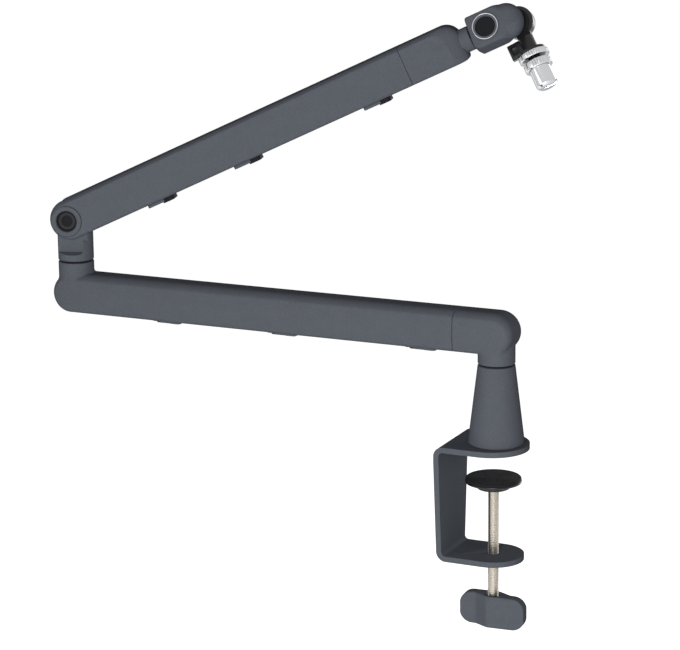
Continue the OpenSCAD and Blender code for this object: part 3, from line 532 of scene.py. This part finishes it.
def to_object(bm, name, place):
    """Turns a mesh, given in a piece's own frame, into an object of the scene."""
    bmesh.ops.recalc_face_normals(bm, faces=bm.faces[:])
    bmesh.ops.transform(bm, matrix=place, verts=bm.verts[:])
    mesh = bpy.data.meshes.new(name)
    bm.to_mesh(mesh)
    bm.free()
    piece = bpy.data.objects.new(name, mesh)
    bpy.context.scene.collection.objects.link(piece)
    return piece


def carve(piece, cutters, place):
    """Cuts closed meshes out of a piece for good."""
    for number, cutter in enumerate(cutters):
        tool = to_object(cutter, f"{piece.name}_cutter_{number}", place)
        cut = piece.modifiers.new("cut", "BOOLEAN")
        cut.operation, cut.solver, cut.object = "DIFFERENCE", "EXACT", tool
        bpy.context.view_layer.update()
        evaluated = piece.evaluated_get(bpy.context.evaluated_depsgraph_get())
        shaped = bpy.data.meshes.new_from_object(evaluated)
        piece.modifiers.clear()
        piece.data = shaped
        bpy.data.objects.remove(tool)


def shell(bm, name, cutters):
    """Cuts closed meshes out of one closed mesh and returns what is left, ready for more shapes."""
    piece = to_object(bm, name, DESK)
    carve(piece, cutters, DESK)
    left = bmesh.new()
    left.from_mesh(piece.data)
    bpy.data.objects.remove(piece)
    return left


def join(bm, other):
    """Adds one mesh to another."""
    mesh = bpy.data.meshes.new("joined")
    other.to_mesh(mesh)
    other.free()
    bm.from_mesh(mesh)
    bpy.data.meshes.remove(mesh)


def settle(bm, name, place, body, finish, stands_for, cutters=()):
    """Puts a finished mesh in its place on a body of the frame."""
    piece = to_object(bm, name, place)
    carve(piece, cutters, place)
    piece.data.shade_smooth()
    piece.data.set_sharp_from_angle(angle=SHARP_ANGLE)
    piece.data.materials.clear()
    piece.data.materials.append(FINISHES[finish])
    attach(piece, body)
    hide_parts(*stands_for)


def softened_copy(node, name, body, finish, width, segments=2, extra=None, extra_place=DESK):
    """A copy of a CAD node with its sharp edges rounded, and an extra mesh joined to it."""
    bm = bmesh.new()
    bm.from_mesh(NODES[node].data)
    bmesh.ops.remove_doubles(bm, verts=bm.verts[:], dist=WELD)
    bmesh.ops.dissolve_limit(bm, angle_limit=0.01, verts=bm.verts[:], edges=bm.edges[:])
    soften(bm, width, segments, above=0.6)
    if extra:
        bmesh.ops.transform(extra, matrix=extra_place, verts=extra.verts[:])
        join(bm, extra)
    settle(bm, name, DESK, body, finish, (node,))


def sizes():
    return bpy.context.scene.boom_arm_sizes


def beam_forms(corner, slant, drop, low_corner, low_slant, crown):
    """Forms of a beam over and under its middle: half width, height, corner, slant and crown."""
    half_y, half_z = sizes().beam_width / 2, sizes().beam_height / 2
    return ((half_y, half_z, corner, math.radians(slant), crown),
            (half_y, half_z - drop, low_corner, math.radians(low_slant), crown))


def lower_forms():
    return beam_forms(sizes().lower_corner, slant=39.5, drop=0.7 * MM, low_corner=3.8 * MM, low_slant=15,
                      crown=1.2 * MM)


def upper_forms():
    return beam_forms(sizes().upper_corner, slant=44, drop=0.3 * MM, low_corner=2.7 * MM, low_slant=5,
                      crown=0.3 * MM)


def rounded_beam(forms, seam_x, end_x, bulge):
    """A beam that runs from a chamfered seam to its round end."""
    seam = sizes().seam
    way = 1 if end_x > seam_x else -1
    middle = max(seam_x, end_x) / 2
    full, rim = section(*forms), section(*forms, seam)
    bm = bmesh.new()
    ring = beam(bm, [(seam_x, rim), (seam_x + way * seam, full), (middle, full), (end_x, full)])
    round_off(bm, ring, end_x, way, bulge)
    return bm


def spans(node, place):
    """Start and end of each separate solid of a CAD node along a piece's own X."""
    back = place.inverted()
    along = sorted((back @ vertex.co).x for vertex in NODES[node].data.vertices)
    gap = 20 * MM
    breaks = [i for i in range(1, len(along)) if along[i] - along[i - 1] > gap]
    starts, ends = [0] + breaks, [i - 1 for i in breaks] + [len(along) - 1]
    return [(along[i], along[j]) for i, j in zip(starts, ends)]


# Pieces


class BOOMARM_OT_finishes(bpy.types.Operator):
    """Makes the finishes and gives the hidden CAD pieces theirs"""

    bl_idname = "boom_arm.finishes"
    bl_label = "Finishes"

    def execute(self, context):
        colours = context.scene.boom_arm_colours
        aluminium = (0.6, 0.6, 0.62)
        FINISHES["coat"] = powder_coat(colours.coat)
        FINISHES["black"] = black_gloss(colours.black)
        FINISHES["plastic"] = matte_black("moulded_black", colours.plastic, grain=0.8 * MM)
        FINISHES["rubber"] = matte_black("black_rubber", colours.rubber, grain=0.5 * MM)
        FINISHES["steel"] = bright_metal("plated_steel", colours.steel, roughness=0.24, scratch=0.6 * MM)
        FINISHES["chrome"] = bright_metal("bright_plate", colours.chrome, roughness=0.07, scratch=1.5 * MM)
        FINISHES["aluminium"] = bright_metal("raw_aluminium", aluminium, roughness=0.35, scratch=0.8 * MM)
        FINISHES["brass"] = bright_metal("brass", colours.brass, roughness=0.25, scratch=0.8 * MM)
        by_slot = {"steel_coat": "coat", "cast_coat": "coat", "dark_metal": "black", "bare_steel": "steel",
                   "bright_chrome": "chrome", "aluminium": "aluminium", "nylon": "plastic",
                   "rubber": "rubber", "brass": "brass"}
        for part in frame["record"]["subparts"]:
            node = NODES[part["node"]]
            for slot in node.material_slots:
                slot.material = FINISHES[by_slot[part["material_slot"]]]
        return {"FINISHED"}


class BOOMARM_OT_clamp(bpy.types.Operator):
    """Builds the bent clamp strap and the conical post"""

    bl_idname = "boom_arm.clamp"
    bl_label = "Clamp and post"

    def execute(self, context):
        size = sizes()
        softened_copy("clamp_frame", "clamp_strap", "clamp", "coat", size.soft_edge)
        low, high = reach("post")
        base, head, top = high.x, size.neck_radius, high.z - size.seam
        gap, recess, draft = 0.9 * MM, 1.4 * MM, 0.1 * MM
        bm = turned([(0, low.z), (base - recess, low.z), (base - recess, low.z + gap), (base, low.z + gap),
                     (base - draft, low.z + 2 * gap), (head, top), (0, top)], steps=96)
        soften(bm, 0.35 * MM, above=0.7)
        settle(bm, "conical_post", DESK, "clamp", "coat", ("post",))
        return {"FINISHED"}


class BOOMARM_OT_foot(bpy.types.Operator):
    """Builds the clamp's foot with its ribbed rubber disc"""

    bl_idname = "boom_arm.foot"
    bl_label = "Foot"

    def execute(self, context):
        cup_top = reach("foot_cup", SCREW)[1].z
        hub_mm = ((5.6, 2), (12.6, 2), (12.3, 5.4), (11.6, 6.1), (6, 7), (5.6, 6.6), (5.6, 2))
        hub = turned([(radius * MM, cup_top - depth * MM) for radius, depth in hub_mm])
        softened_copy("foot_cup", "foot_cup_turned", "clamp_foot", "black", 0.25 * MM,
                      extra=hub, extra_place=SCREW)

        low, high = reach("foot_pad", SCREW)
        rim, top = high.x, high.z
        edge, rim_land = 0.5 * MM, 1.3 * MM
        groove, land, depth = 0.7 * MM, 1.1 * MM, 0.35 * MM
        radius = rim - rim_land
        profile = [(0, low.z), (rim, low.z), (rim, top - edge), (rim - edge, top), (radius, top)]
        while radius > 2 * land:
            profile += [(radius - 0.25 * groove, top - depth), (radius - 0.75 * groove, top - depth),
                        (radius - groove, top), (radius - land - groove, top)]
            radius -= land + groove
        bm = turned(profile + [(0, top)], steps=96)
        settle(bm, "ribbed_disc", SCREW, "clamp_foot", "rubber", ("foot_pad",))
        return {"FINISHED"}


class BOOMARM_OT_clamp_screw(bpy.types.Operator):
    """Builds the threaded clamp screw"""

    bl_idname = "boom_arm.clamp_screw"
    bl_label = "Clamp screw"

    def execute(self, context):
        low, high = reach("clamp_screw", SCREW)
        thread_top = reach("foot_cup")[0].z - 0.8 * MM
        depth, throat, ball = 0.55 * MM, 2.3 * MM, 3.2 * MM
        centre = high.z - ball
        bm = bmesh.new()
        thread(bm, high.x, depth, sizes().clamp_pitch, low.z, thread_top)
        turn(bm, cylinder(throat, thread_top - 1 * MM, centre), steps=24)
        bmesh.ops.create_uvsphere(bm, u_segments=24, v_segments=12, radius=ball,
                                  matrix=Matrix.Translation((0, 0, centre)))
        settle(bm, "threaded_rod", SCREW, "screw_and_handle", "steel", ("clamp_screw",))
        return {"FINISHED"}


class BOOMARM_OT_handle(bpy.types.Operator):
    """Builds the cast wing handle"""

    bl_idname = "boom_arm.handle"
    bl_label = "Wing handle"

    def execute(self, context):
        handle_place = SCREW @ Matrix.Rotation(sizes().handle_turn, 4, "Z")
        low, high = reach("screw_handle", handle_place)
        half_w = high.x
        bottom = low.z + 3.3 * MM
        mid_z, half_z = (bottom + high.z) / 2, (high.z - bottom) / 2
        back, front, ridge, bend = 1.25 * MM, 7.25 * MM, 3 * MM, 13 * MM
        end_round, edge_arc, end_chamfer = 9 * MM, 1.1 * MM, 0.9 * MM

        def front_y(x):
            """The S-shaped plan: the left wing is set back, the right wing stands forward."""
            if x < -bend:
                return -back
            if x > -ridge:
                return -front
            return -back - (front - back) * (x + bend) / (bend - ridge)

        def soft_front(x):
            step = 0.8 * MM
            return sum(front_y(x + shift * step) for shift in (-1, 0, 1)) / 3

        places = [0, 1.2, 2.2, 3, 3.8, 4.8, 7, 9, 11, 12.2, 13, 13.8, 15, 17, 19, 20.5, 22, 23, 23.8, 24.3,
                  24.7, half_w / MM]
        stations = []
        for x in [-x * MM for x in reversed(places[1:])] + [x * MM for x in places]:
            near, far = soft_front(x), -soft_front(-x)
            into = max(abs(x) - (half_w - end_round), 0)
            rise = half_z - end_round + math.sqrt(max(end_round ** 2 - into ** 2, 0))
            half_y = (far - near) / 2 - (end_chamfer if abs(x) == half_w else 0)
            stations.append((x, half_y, rise, edge_arc, 0.0, (near + far) / 2, mid_z))
        bm = bmesh.new()
        skin(bm, stations, steps=40)
        floor, above = high.z - 3.2 * MM, high.z + 1 * MM
        hollow = turned([(0, floor), (5.2 * MM, floor), (6.3 * MM, above), (0, above)], steps=48)
        settle(bm, "wing_handle", handle_place, "screw_and_handle", "coat",
               ("screw_handle", "handle_pin"), cutters=[hollow])
        return {"FINISHED"}


class BOOMARM_OT_lower_arm(bpy.types.Operator):
    """Builds the elbow, the lower beam with its knuckle, and their necks"""

    bl_idname = "boom_arm.lower_arm"
    bl_label = "Lower arm"

    def execute(self, context):
        size = sizes()
        forms = lower_forms()
        bulge = 0.4 * MM
        bm = rounded_beam(forms, ELBOW_BOX[1].x, 0, bulge)
        neck(bm, 0, ELBOW_BOX[0].z + size.seam, size.neck_radius, forms[1], -1, -1, bulge)
        settle(bm, "elbow", LOWER, "lower_arm", "coat", ("elbow_casting",))

        axis_x = (LOWER.inverted() @ SWING).x
        bm = rounded_beam(forms, LOWER_BOX[0].x, axis_x, bulge)
        neck(bm, axis_x, LOWER_BOX[1].z - size.seam, size.neck_radius, forms[0], 1, 1, bulge)
        settle(bm, "lower_beam_and_knuckle", LOWER, "lower_arm", "coat", ("lower_beam",))
        return {"FINISHED"}


class BOOMARM_OT_swivel(bpy.types.Operator):
    """Builds the swivel block that the upper arm tilts on"""

    bl_idname = "boom_arm.swivel"
    bl_label = "Swivel block"

    def execute(self, context):
        size = sizes()
        low, high = reach("swivel_block", KNUCKLE)
        pivot = KNUCKLE.inverted() @ TILT
        neck_r, base, seam_top = size.neck_radius, low.z + size.seam, low.z + 2 * size.seam
        half_t, wall_x, far = 7.2 * MM, 8.5 * MM, 30 * MM
        ledge, ledge_rise, ledge_corner = low.z + 5.2 * MM, 1.6 * MM, 2.8 * MM
        wall_top = pivot.z - size.beam_height / 2 - 0.9 * MM
        bm = turned([(0, base), (neck_r - size.seam, base), (neck_r, seam_top), (neck_r, pivot.z),
                     (0, pivot.z)])
        cutters = []
        for way in (-1, 1):
            near, out = sorted((way * half_t, way * far))
            pocket = bmesh.new()
            block(pocket, (-far, near, ledge), (wall_x, out, pivot.z + far))
            corner = [edge for edge in pocket.edges
                      if all(vertex.co.x > wall_x - MM and vertex.co.z < ledge + MM for vertex in edge.verts)]
            soften(pocket, ledge_corner, segments=5, edges=corner)
            for vertex in pocket.verts:
                if vertex.co.z < ledge + 5 * MM:
                    vertex.co.z += ledge_rise * (1 - (abs(vertex.co.y) - half_t) / (neck_r - half_t))
            above = bmesh.new()
            block(above, (wall_x - 2 * MM, near, wall_top), (far, out, pivot.z + far))
            cutters += [pocket, above]
        bm = shell(bm, "swivel_blank", cutters)
        radius, edge = high.z - pivot.z, 0.4 * MM
        turn(bm, [(0, -half_t), (radius - edge, -half_t), (radius, edge - half_t), (radius, half_t - edge),
                  (radius - edge, half_t), (0, half_t)], place=Matrix.Translation(pivot) @ ACROSS)
        settle(bm, "swivel_tongue", KNUCKLE, "swivel", "coat", ("swivel_block",))
        return {"FINISHED"}


class BOOMARM_OT_upper_arm(bpy.types.Operator):
    """Builds the upper beam with its fork and pivot covers"""

    bl_idname = "boom_arm.upper_arm"
    bl_label = "Upper arm"

    def execute(self, context):
        half_y = sizes().beam_width / 2
        boss, lift, bore, recess = 11.4 * MM, 0.65 * MM, 7.9 * MM, 3.4 * MM
        slot_x, slot_y, far = 17.5 * MM, 8.2 * MM, 30 * MM
        face, root, above = half_y + lift, half_y - 1.5 * MM, half_y + 3 * MM
        places = (ACROSS, ACROSS.inverted())

        slot = bmesh.new()
        block(slot, (-far, -slot_y, -far), (slot_x, slot_y, far))
        cutters = [slot]
        inner, outer, floor = boss - 0.3 * MM, boss + 0.6 * MM, half_y - 1.0 * MM
        groove = [(inner, floor), (outer, floor), (outer, above), (inner, above), (inner, floor)]
        for place in places:
            cutters.append(turned(cylinder(bore, half_y - recess, above), steps=64, place=place))
            cutters.append(turned(groove, place=place))
        bm = shell(rounded_beam(upper_forms(), UPPER_BOX[1].x, 0, -1.3 * MM), "fork_blank", cutters)
        ring = [(bore, root), (boss, root), (boss, face - 0.6 * MM), (boss - 0.25 * MM, face - 0.15 * MM),
                (boss - 0.7 * MM, face), (bore + 1.3 * MM, face), (bore + 0.5 * MM, face - 0.25 * MM),
                (bore, face - 1.0 * MM), (bore, root)]
        for place in places:
            turn(bm, ring, place=place)
        settle(bm, "upper_beam_and_fork", UPPER, "upper_arm", "coat", ("upper_beam",))

        rim, floor = bore - 0.1 * MM, half_y - 1.7 * MM
        cover = [(0, floor - 1 * MM), (rim, floor - 1 * MM), (rim, floor - 0.2 * MM),
                 (bore - 0.5 * MM, floor + 0.25 * MM), (bore - 1.5 * MM, floor + 0.3 * MM),
                 (bore - 1.9 * MM, floor - 0.1 * MM), (bore * 0.4, floor + 0.25 * MM), (0, floor + 0.35 * MM)]
        bm = bmesh.new()
        for place in places:
            turn(bm, cover, steps=48, place=place)
        settle(bm, "pivot_covers", UPPER, "upper_arm", "plastic", ("pivot_caps",))
        return {"FINISHED"}


class BOOMARM_OT_end_casting(bpy.types.Operator):
    """Builds the casting at the upper arm's end, with the neck that carries the head"""

    bl_idname = "boom_arm.end_casting"
    bl_label = "End casting"

    def execute(self, context):
        top, low = upper_forms()
        half_y = sizes().beam_width / 2
        start, end = CASTING_BOX[0].x, CASTING_BOX[1].x
        straight, nose = start + 8 * MM, end - 6.2 * MM
        nose_round, foot_round, shoulder, shoulder_y = 12 * MM, 3 * MM, 9.5 * MM, 5.5 * MM
        nose_steps, foot_steps = 10, 5
        edge, edge_high = half_y - top[4], 6 * MM
        levels = [y * MM for y in (0, 3, 5.5, 7.5, 9, 10.3, 11.4, 12.4, 13.2, 13.8)] + [edge, half_y]

        def outline_at(y):
            """The casting's outline at a distance from the mid plane; its nose draws back at the sides."""
            inset = shoulder * (max(min(abs(y), edge) - shoulder_y, 0) / (edge - shoulder_y)) ** 1.8
            if abs(y) > edge:
                high = deep = edge_high
            else:
                high, deep = side_height(y, top), side_height(y, low)
            tip, round_r, small = nose - inset, min(nose_round, high), min(foot_round, deep)
            points = [(start, -deep), (straight, -deep)]
            points += quarter_turn(tip - small, small - deep, small, -RIGHT, foot_steps)
            points += quarter_turn(tip - round_r, high - round_r, round_r, 0, nose_steps)
            return points + [(straight, high), (start, high)]

        bm = bmesh.new()
        layers = [-y for y in reversed(levels[1:])] + levels
        ring = bmesh.ops.create_circle(bm, cap_ends=False, segments=len(outline_at(0)), radius=1)["verts"]
        for number, y in enumerate(layers):
            if number:
                ring = next_ring(bm, ring)
            for vertex, (point_x, point_z) in zip(ring, outline_at(y)):
                vertex.co = (point_x, y, point_z)
            if number in (0, len(layers) - 1):
                cap_ring(bm, ring)
        neck_z, neck_r, rim, root = (UPPER.inverted() @ HEAD.translation).z, 9 * MM, 0.4 * MM, nose - 8 * MM
        turn(bm, [(0, root), (neck_r, root), (neck_r, end - rim), (neck_r - rim, end), (0, end)], steps=64,
             place=Matrix.Translation((0, 0, neck_z)) @ Matrix.Rotation(RIGHT, 4, "Y"))
        settle(bm, "end_casting", UPPER, "upper_arm", "coat", ("upper_end_casting",))
        return {"FINISHED"}


class BOOMARM_OT_clips(bpy.types.Operator):
    """Builds the cable clips under both beams, each of them a plate and a rubber tab"""

    bl_idname = "boom_arm.clips"
    bl_label = "Cable clips"

    def execute(self, context):
        low_face = -sizes().beam_height / 2
        half_w, narrow, seat = 6.5 * MM, 3.6 * MM, 0.8 * MM

        def pad(bm, start, end, half, depth, corner):
            """A flat pad under the beam with round corners."""
            piece = bmesh.new()
            block(piece, (start, -half, low_face - depth), (end, half, low_face + seat))
            upright = [edge for edge in piece.edges if abs(edge.verts[0].co.z - edge.verts[1].co.z) > MM]
            soften(piece, corner, segments=5, edges=upright)
            soften(piece, 0.3 * MM, above=1.2)
            join(bm, piece)

        plates, tabs = bmesh.new(), bmesh.new()
        for start, end in spans("lower_clips", LOWER):
            pad(plates, start - 0.4 * MM, start + 17.5 * MM, half_w, 1.5 * MM, 1.5 * MM)
            pad(plates, start + 14 * MM, end, narrow, 1.5 * MM, 2.4 * MM)
            pad(tabs, start + 0.6 * MM, start + 9 * MM, half_w - MM, 1.9 * MM, 1.5 * MM)
        settle(plates, "lower_clip_plates", LOWER, "lower_arm", "coat", ("lower_clips",))
        settle(tabs, "lower_clip_rubbers", LOWER, "lower_arm", "rubber", ("lower_clip_tabs",))

        plates, tabs = bmesh.new(), bmesh.new()
        for start, _ in spans("upper_clips", UPPER):
            pad(plates, start, start + 15 * MM, half_w, 2.45 * MM, 2 * MM)
            pad(tabs, start + 12 * MM, start + 21.5 * MM, half_w, 3.4 * MM, 2.4 * MM)
        settle(plates, "upper_clip_plates", UPPER, "upper_arm", "coat", ("upper_clips",))
        settle(tabs, "upper_clip_rubbers", UPPER, "upper_arm", "rubber", ("upper_clip_tabs",))
        return {"FINISHED"}


class BOOMARM_OT_head(bpy.types.Operator):
    """Builds the head's housing with its ringed cover"""

    bl_idname = "boom_arm.head"
    bl_label = "Head"

    def execute(self, context):
        low, high = HOUSING_BOX
        half_z, half_y = (high.z - low.z) / 2, 9 * MM
        dome, ball, dome_steps = 12.8 * MM, 13.5 * MM, 12
        flare_x, dome_x = 19 * MM, high.x - dome
        chamfer, corner = 2.6 * MM, 2.2 * MM
        stations = []
        for x, shrink in ((0, 1.4), (0.35, 0.6), (1.1, 0.12), (2, 0)):
            tall = half_z - shrink * MM
            deep = -half_z + max(chamfer - x * MM, 0)
            stations.append((x * MM, half_y - shrink * MM, (tall - deep) / 2, corner, 0.0, 0,
                             (tall + deep) / 2))
        for x in (2.6 * MM, 5 * MM, 14 * MM, flare_x):
            stations.append((x, half_y, half_z, corner))
        for share, round_share in ((0.35, 0.1), (0.6, 0.3), (0.8, 0.6), (0.92, 0.85), (1, 0.98)):
            stations.append((flare_x + share * (dome_x - flare_x), half_y, half_z + share * (ball - half_z),
                             corner + round_share * (half_y - corner)))
        for step in range(1, dome_steps + 1):
            angle = RIGHT * step / dome_steps
            shrink = max(math.cos(angle), 0.02)
            stations.append((dome_x + dome * math.sin(angle), half_y * shrink, ball * shrink,
                             half_y * shrink * 0.98))
        bm = bmesh.new()
        skin(bm, stations)
        boss_x, boss, bore = 12.8 * MM, 10 * MM, 7.5 * MM
        face, root = half_y + 1 * MM, half_y - 1.8 * MM
        place = Matrix.Translation((boss_x, 0, 0)) @ ACROSS
        hole = turned(cylinder(bore, half_y - 2 * MM, half_y + 3 * MM), steps=64, place=place)
        bm = shell(bm, "head_blank", [hole])
        turn(bm, [(bore, root), (boss, root), (boss, face - 0.3 * MM), (boss - 0.3 * MM, face),
                  (bore + 0.2 * MM, face), (bore, face - 0.2 * MM), (bore, root)], place=place)
        settle(bm, "head_shell", HEAD, "head", "coat", ("head_housing",))

        inner, outer = boss - 1.05 * MM, boss - 0.45 * MM
        root, side, crest = face - 0.3 * MM, face + 0.05 * MM, face + 0.2 * MM
        bm = turned([(inner, root), (outer, root), (outer, side), (boss - 0.65 * MM, crest),
                     (inner + 0.2 * MM, crest), (inner, side), (inner, root)], place=place)
        settle(bm, "bright_ring", HEAD, "head", "chrome", ("boss_ring",))

        rim, floor = bore - 0.2 * MM, face - 1.4 * MM
        bm = turned([(0, floor - 1 * MM), (rim, floor - 1 * MM), (rim, floor - 0.3 * MM),
                     (bore - 0.6 * MM, floor), (0, floor)], steps=64, place=place)
        settle(bm, "ring_cap", HEAD, "head", "plastic", ("boss_cap",))
        return {"FINISHED"}


class BOOMARM_OT_shank(bpy.types.Operator):
    """Builds the black shank with its hinge disc and cable eye"""

    bl_idname = "boom_arm.shank"
    bl_label = "Shank"

    def execute(self, context):
        eye_y = (SHANK.inverted() @ joint_point("adapter_turn")).y
        half_t, web, far, corner = 3.2 * MM, 0.6 * MM, 20 * MM, 1.2 * MM
        eye, hole = bmesh.new(), bmesh.new()
        block(eye, (0, eye_y - half_t, 13.3 * MM), (14.7 * MM, eye_y + half_t, 24.6 * MM))
        for near, out in ((-far, -web), (web, far)):
            block(hole, (7.4 * MM, eye_y + near, 15.8 * MM), (12.8 * MM, eye_y + out, 22.4 * MM))
        for mesh in (eye, hole):
            soften(mesh, corner, segments=3)
        softened_copy("mic_shank", "black_shank", "shank", "black", 0.5 * MM, segments=3,
                      extra=shell(eye, "cable_eye", [hole]), extra_place=SHANK)
        return {"FINISHED"}


class BOOMARM_OT_thread(bpy.types.Operator):
    """Builds the lock ring and the microphone thread adapter"""

    bl_idname = "boom_arm.thread"
    bl_label = "Lock ring and adapter"

    def execute(self, context):
        softened_copy("lock_ring", "lock_ring_knurled", "lock_ring", "chrome", 0.15 * MM)
        softened_copy("thread_adapter", "adapter_turned", "adapter", "chrome", 0.15 * MM)
        return {"FINISHED"}


class BOOMARM_OT_stage(bpy.types.Operator):
    """Makes the floor, the lamps, the world and the camera"""

    bl_idname = "boom_arm.stage"
    bl_label = "Stage"

    def execute(self, context):
        scene = context.scene
        white = (1, 1, 1, 1)
        floor_z, floor_size = -0.75, 30
        bm = bmesh.new()
        bmesh.ops.create_grid(bm, x_segments=1, y_segments=1, size=floor_size)
        floor = to_object(bm, "floor", Matrix.Translation((0, 0, floor_z)))
        material, finish = new_finish("pale_floor")
        glow_strength = 0.9 * finish.seen()
        diffuse = finish.node("ShaderNodeBsdfDiffuse", None, Color=tint(scene.boom_arm_colours.floor, 1))
        glow = finish.node("ShaderNodeEmission", None, Color=white, Strength=glow_strength)
        added = finish.node("ShaderNodeAddShader", None, diffuse, glow)
        finish.raw("ShaderNodeOutputMaterial", None, (added,))
        floor.data.materials.append(material)

        world = bpy.data.worlds.new("studio")
        scene.world = world
        sky = Finish(world)
        back = sky.node("ShaderNodeBackground", None, Color=white, Strength=0.12 + 0.88 * sky.seen())
        sky.raw("ShaderNodeOutputWorld", None, (back,))

        centre = Vector((-0.17, 0.02, 0.10))
        for name, azimuth, elevation, distance, size, power in (
                ("key", 20, 9, 2.2, 0.7, 45.0), ("fill", -35, 6, 2.2, 0.8, 3.0),
                ("back_left", -120, 5, 2.4, 1.0, 14.0), ("back_right", 160, 5, 2.4, 1.0, 14.0)):
            lamp = bpy.data.lights.new(name, "AREA")
            lamp.shape, lamp.size, lamp.energy = "SQUARE", size, power
            lamp_object = bpy.data.objects.new(name, lamp)
            scene.collection.objects.link(lamp_object)
            around, rise = math.radians(azimuth), math.radians(elevation)
            out = math.cos(rise)
            way = Vector((math.sin(around) * out, -math.cos(around) * out, math.sin(rise)))
            lamp_object.location = centre + way * distance
            lamp_object.rotation_euler = (-way).to_track_quat("-Z", "Y").to_euler()

        camera = bpy.data.cameras.new("camera")
        camera_object = bpy.data.objects.new("camera", camera)
        scene.collection.objects.link(camera_object)
        eye = Vector((0.66063, -1.63997, 0.51852))
        yaw, pitch, roll = 0.437576, 0.238199, -0.009533
        focal_px, centre_x, centre_y, frame_w, frame_h = 2600, 358.50, 325.83, 680, 650
        flat_right = Vector((math.cos(yaw), math.sin(yaw), 0))
        flat_ahead = Vector((-math.sin(yaw), math.cos(yaw), 0))
        ahead = flat_ahead * math.cos(pitch) - UP * math.sin(pitch)
        over = flat_ahead * math.sin(pitch) + UP * math.cos(pitch)
        right = flat_right * math.cos(roll) + over * math.sin(roll)
        camera_object.matrix_world = own_frame(eye, right, right.cross(ahead))
        camera.sensor_width = 36
        camera.lens = focal_px / frame_w * camera.sensor_width
        camera.shift_x = (frame_w / 2 - centre_x) / frame_w
        camera.shift_y = (centre_y - frame_h / 2) / frame_w
        camera.clip_start, camera.clip_end = 0.05, 100
        scene.camera = camera_object
        scene.view_settings.view_transform = "Standard"
        return {"FINISHED"}


class BOOMARM_PT_panel(bpy.types.Panel):
    """Lists the steps that build the boom arm"""

    bl_label = "Boom arm"
    bl_space_type = "VIEW_3D"
    bl_region_type = "UI"
    bl_category = "Boom arm"

    def draw(self, context):
        layout = self.layout
        for group in (context.scene.boom_arm_sizes, context.scene.boom_arm_colours):
            box = layout.box()
            for name in group.__annotations__:
                box.prop(group, name)
        for step in STEPS:
            layout.operator(step.bl_idname)


STEPS = (BOOMARM_OT_finishes, BOOMARM_OT_clamp, BOOMARM_OT_foot, BOOMARM_OT_clamp_screw,
         BOOMARM_OT_handle, BOOMARM_OT_lower_arm, BOOMARM_OT_swivel, BOOMARM_OT_upper_arm,
         BOOMARM_OT_end_casting, BOOMARM_OT_clips, BOOMARM_OT_head, BOOMARM_OT_shank,
         BOOMARM_OT_thread, BOOMARM_OT_stage)
CLASSES = (BoomArmSizes, BoomArmColours, *STEPS, BOOMARM_PT_panel)


def register():
    for cls in CLASSES:
        bpy.utils.register_class(cls)
    bpy.types.Scene.boom_arm_sizes = PointerProperty(type=BoomArmSizes)
    bpy.types.Scene.boom_arm_colours = PointerProperty(type=BoomArmColours)


def unregister():
    del bpy.types.Scene.boom_arm_colours
    del bpy.types.Scene.boom_arm_sizes
    for cls in reversed(CLASSES):
        bpy.utils.unregister_class(cls)


def main():
    register()
    for step in STEPS:
        group, name = step.bl_idname.split(".")
        getattr(getattr(bpy.ops, group), name)()


if __name__ == "__main__":
    main()
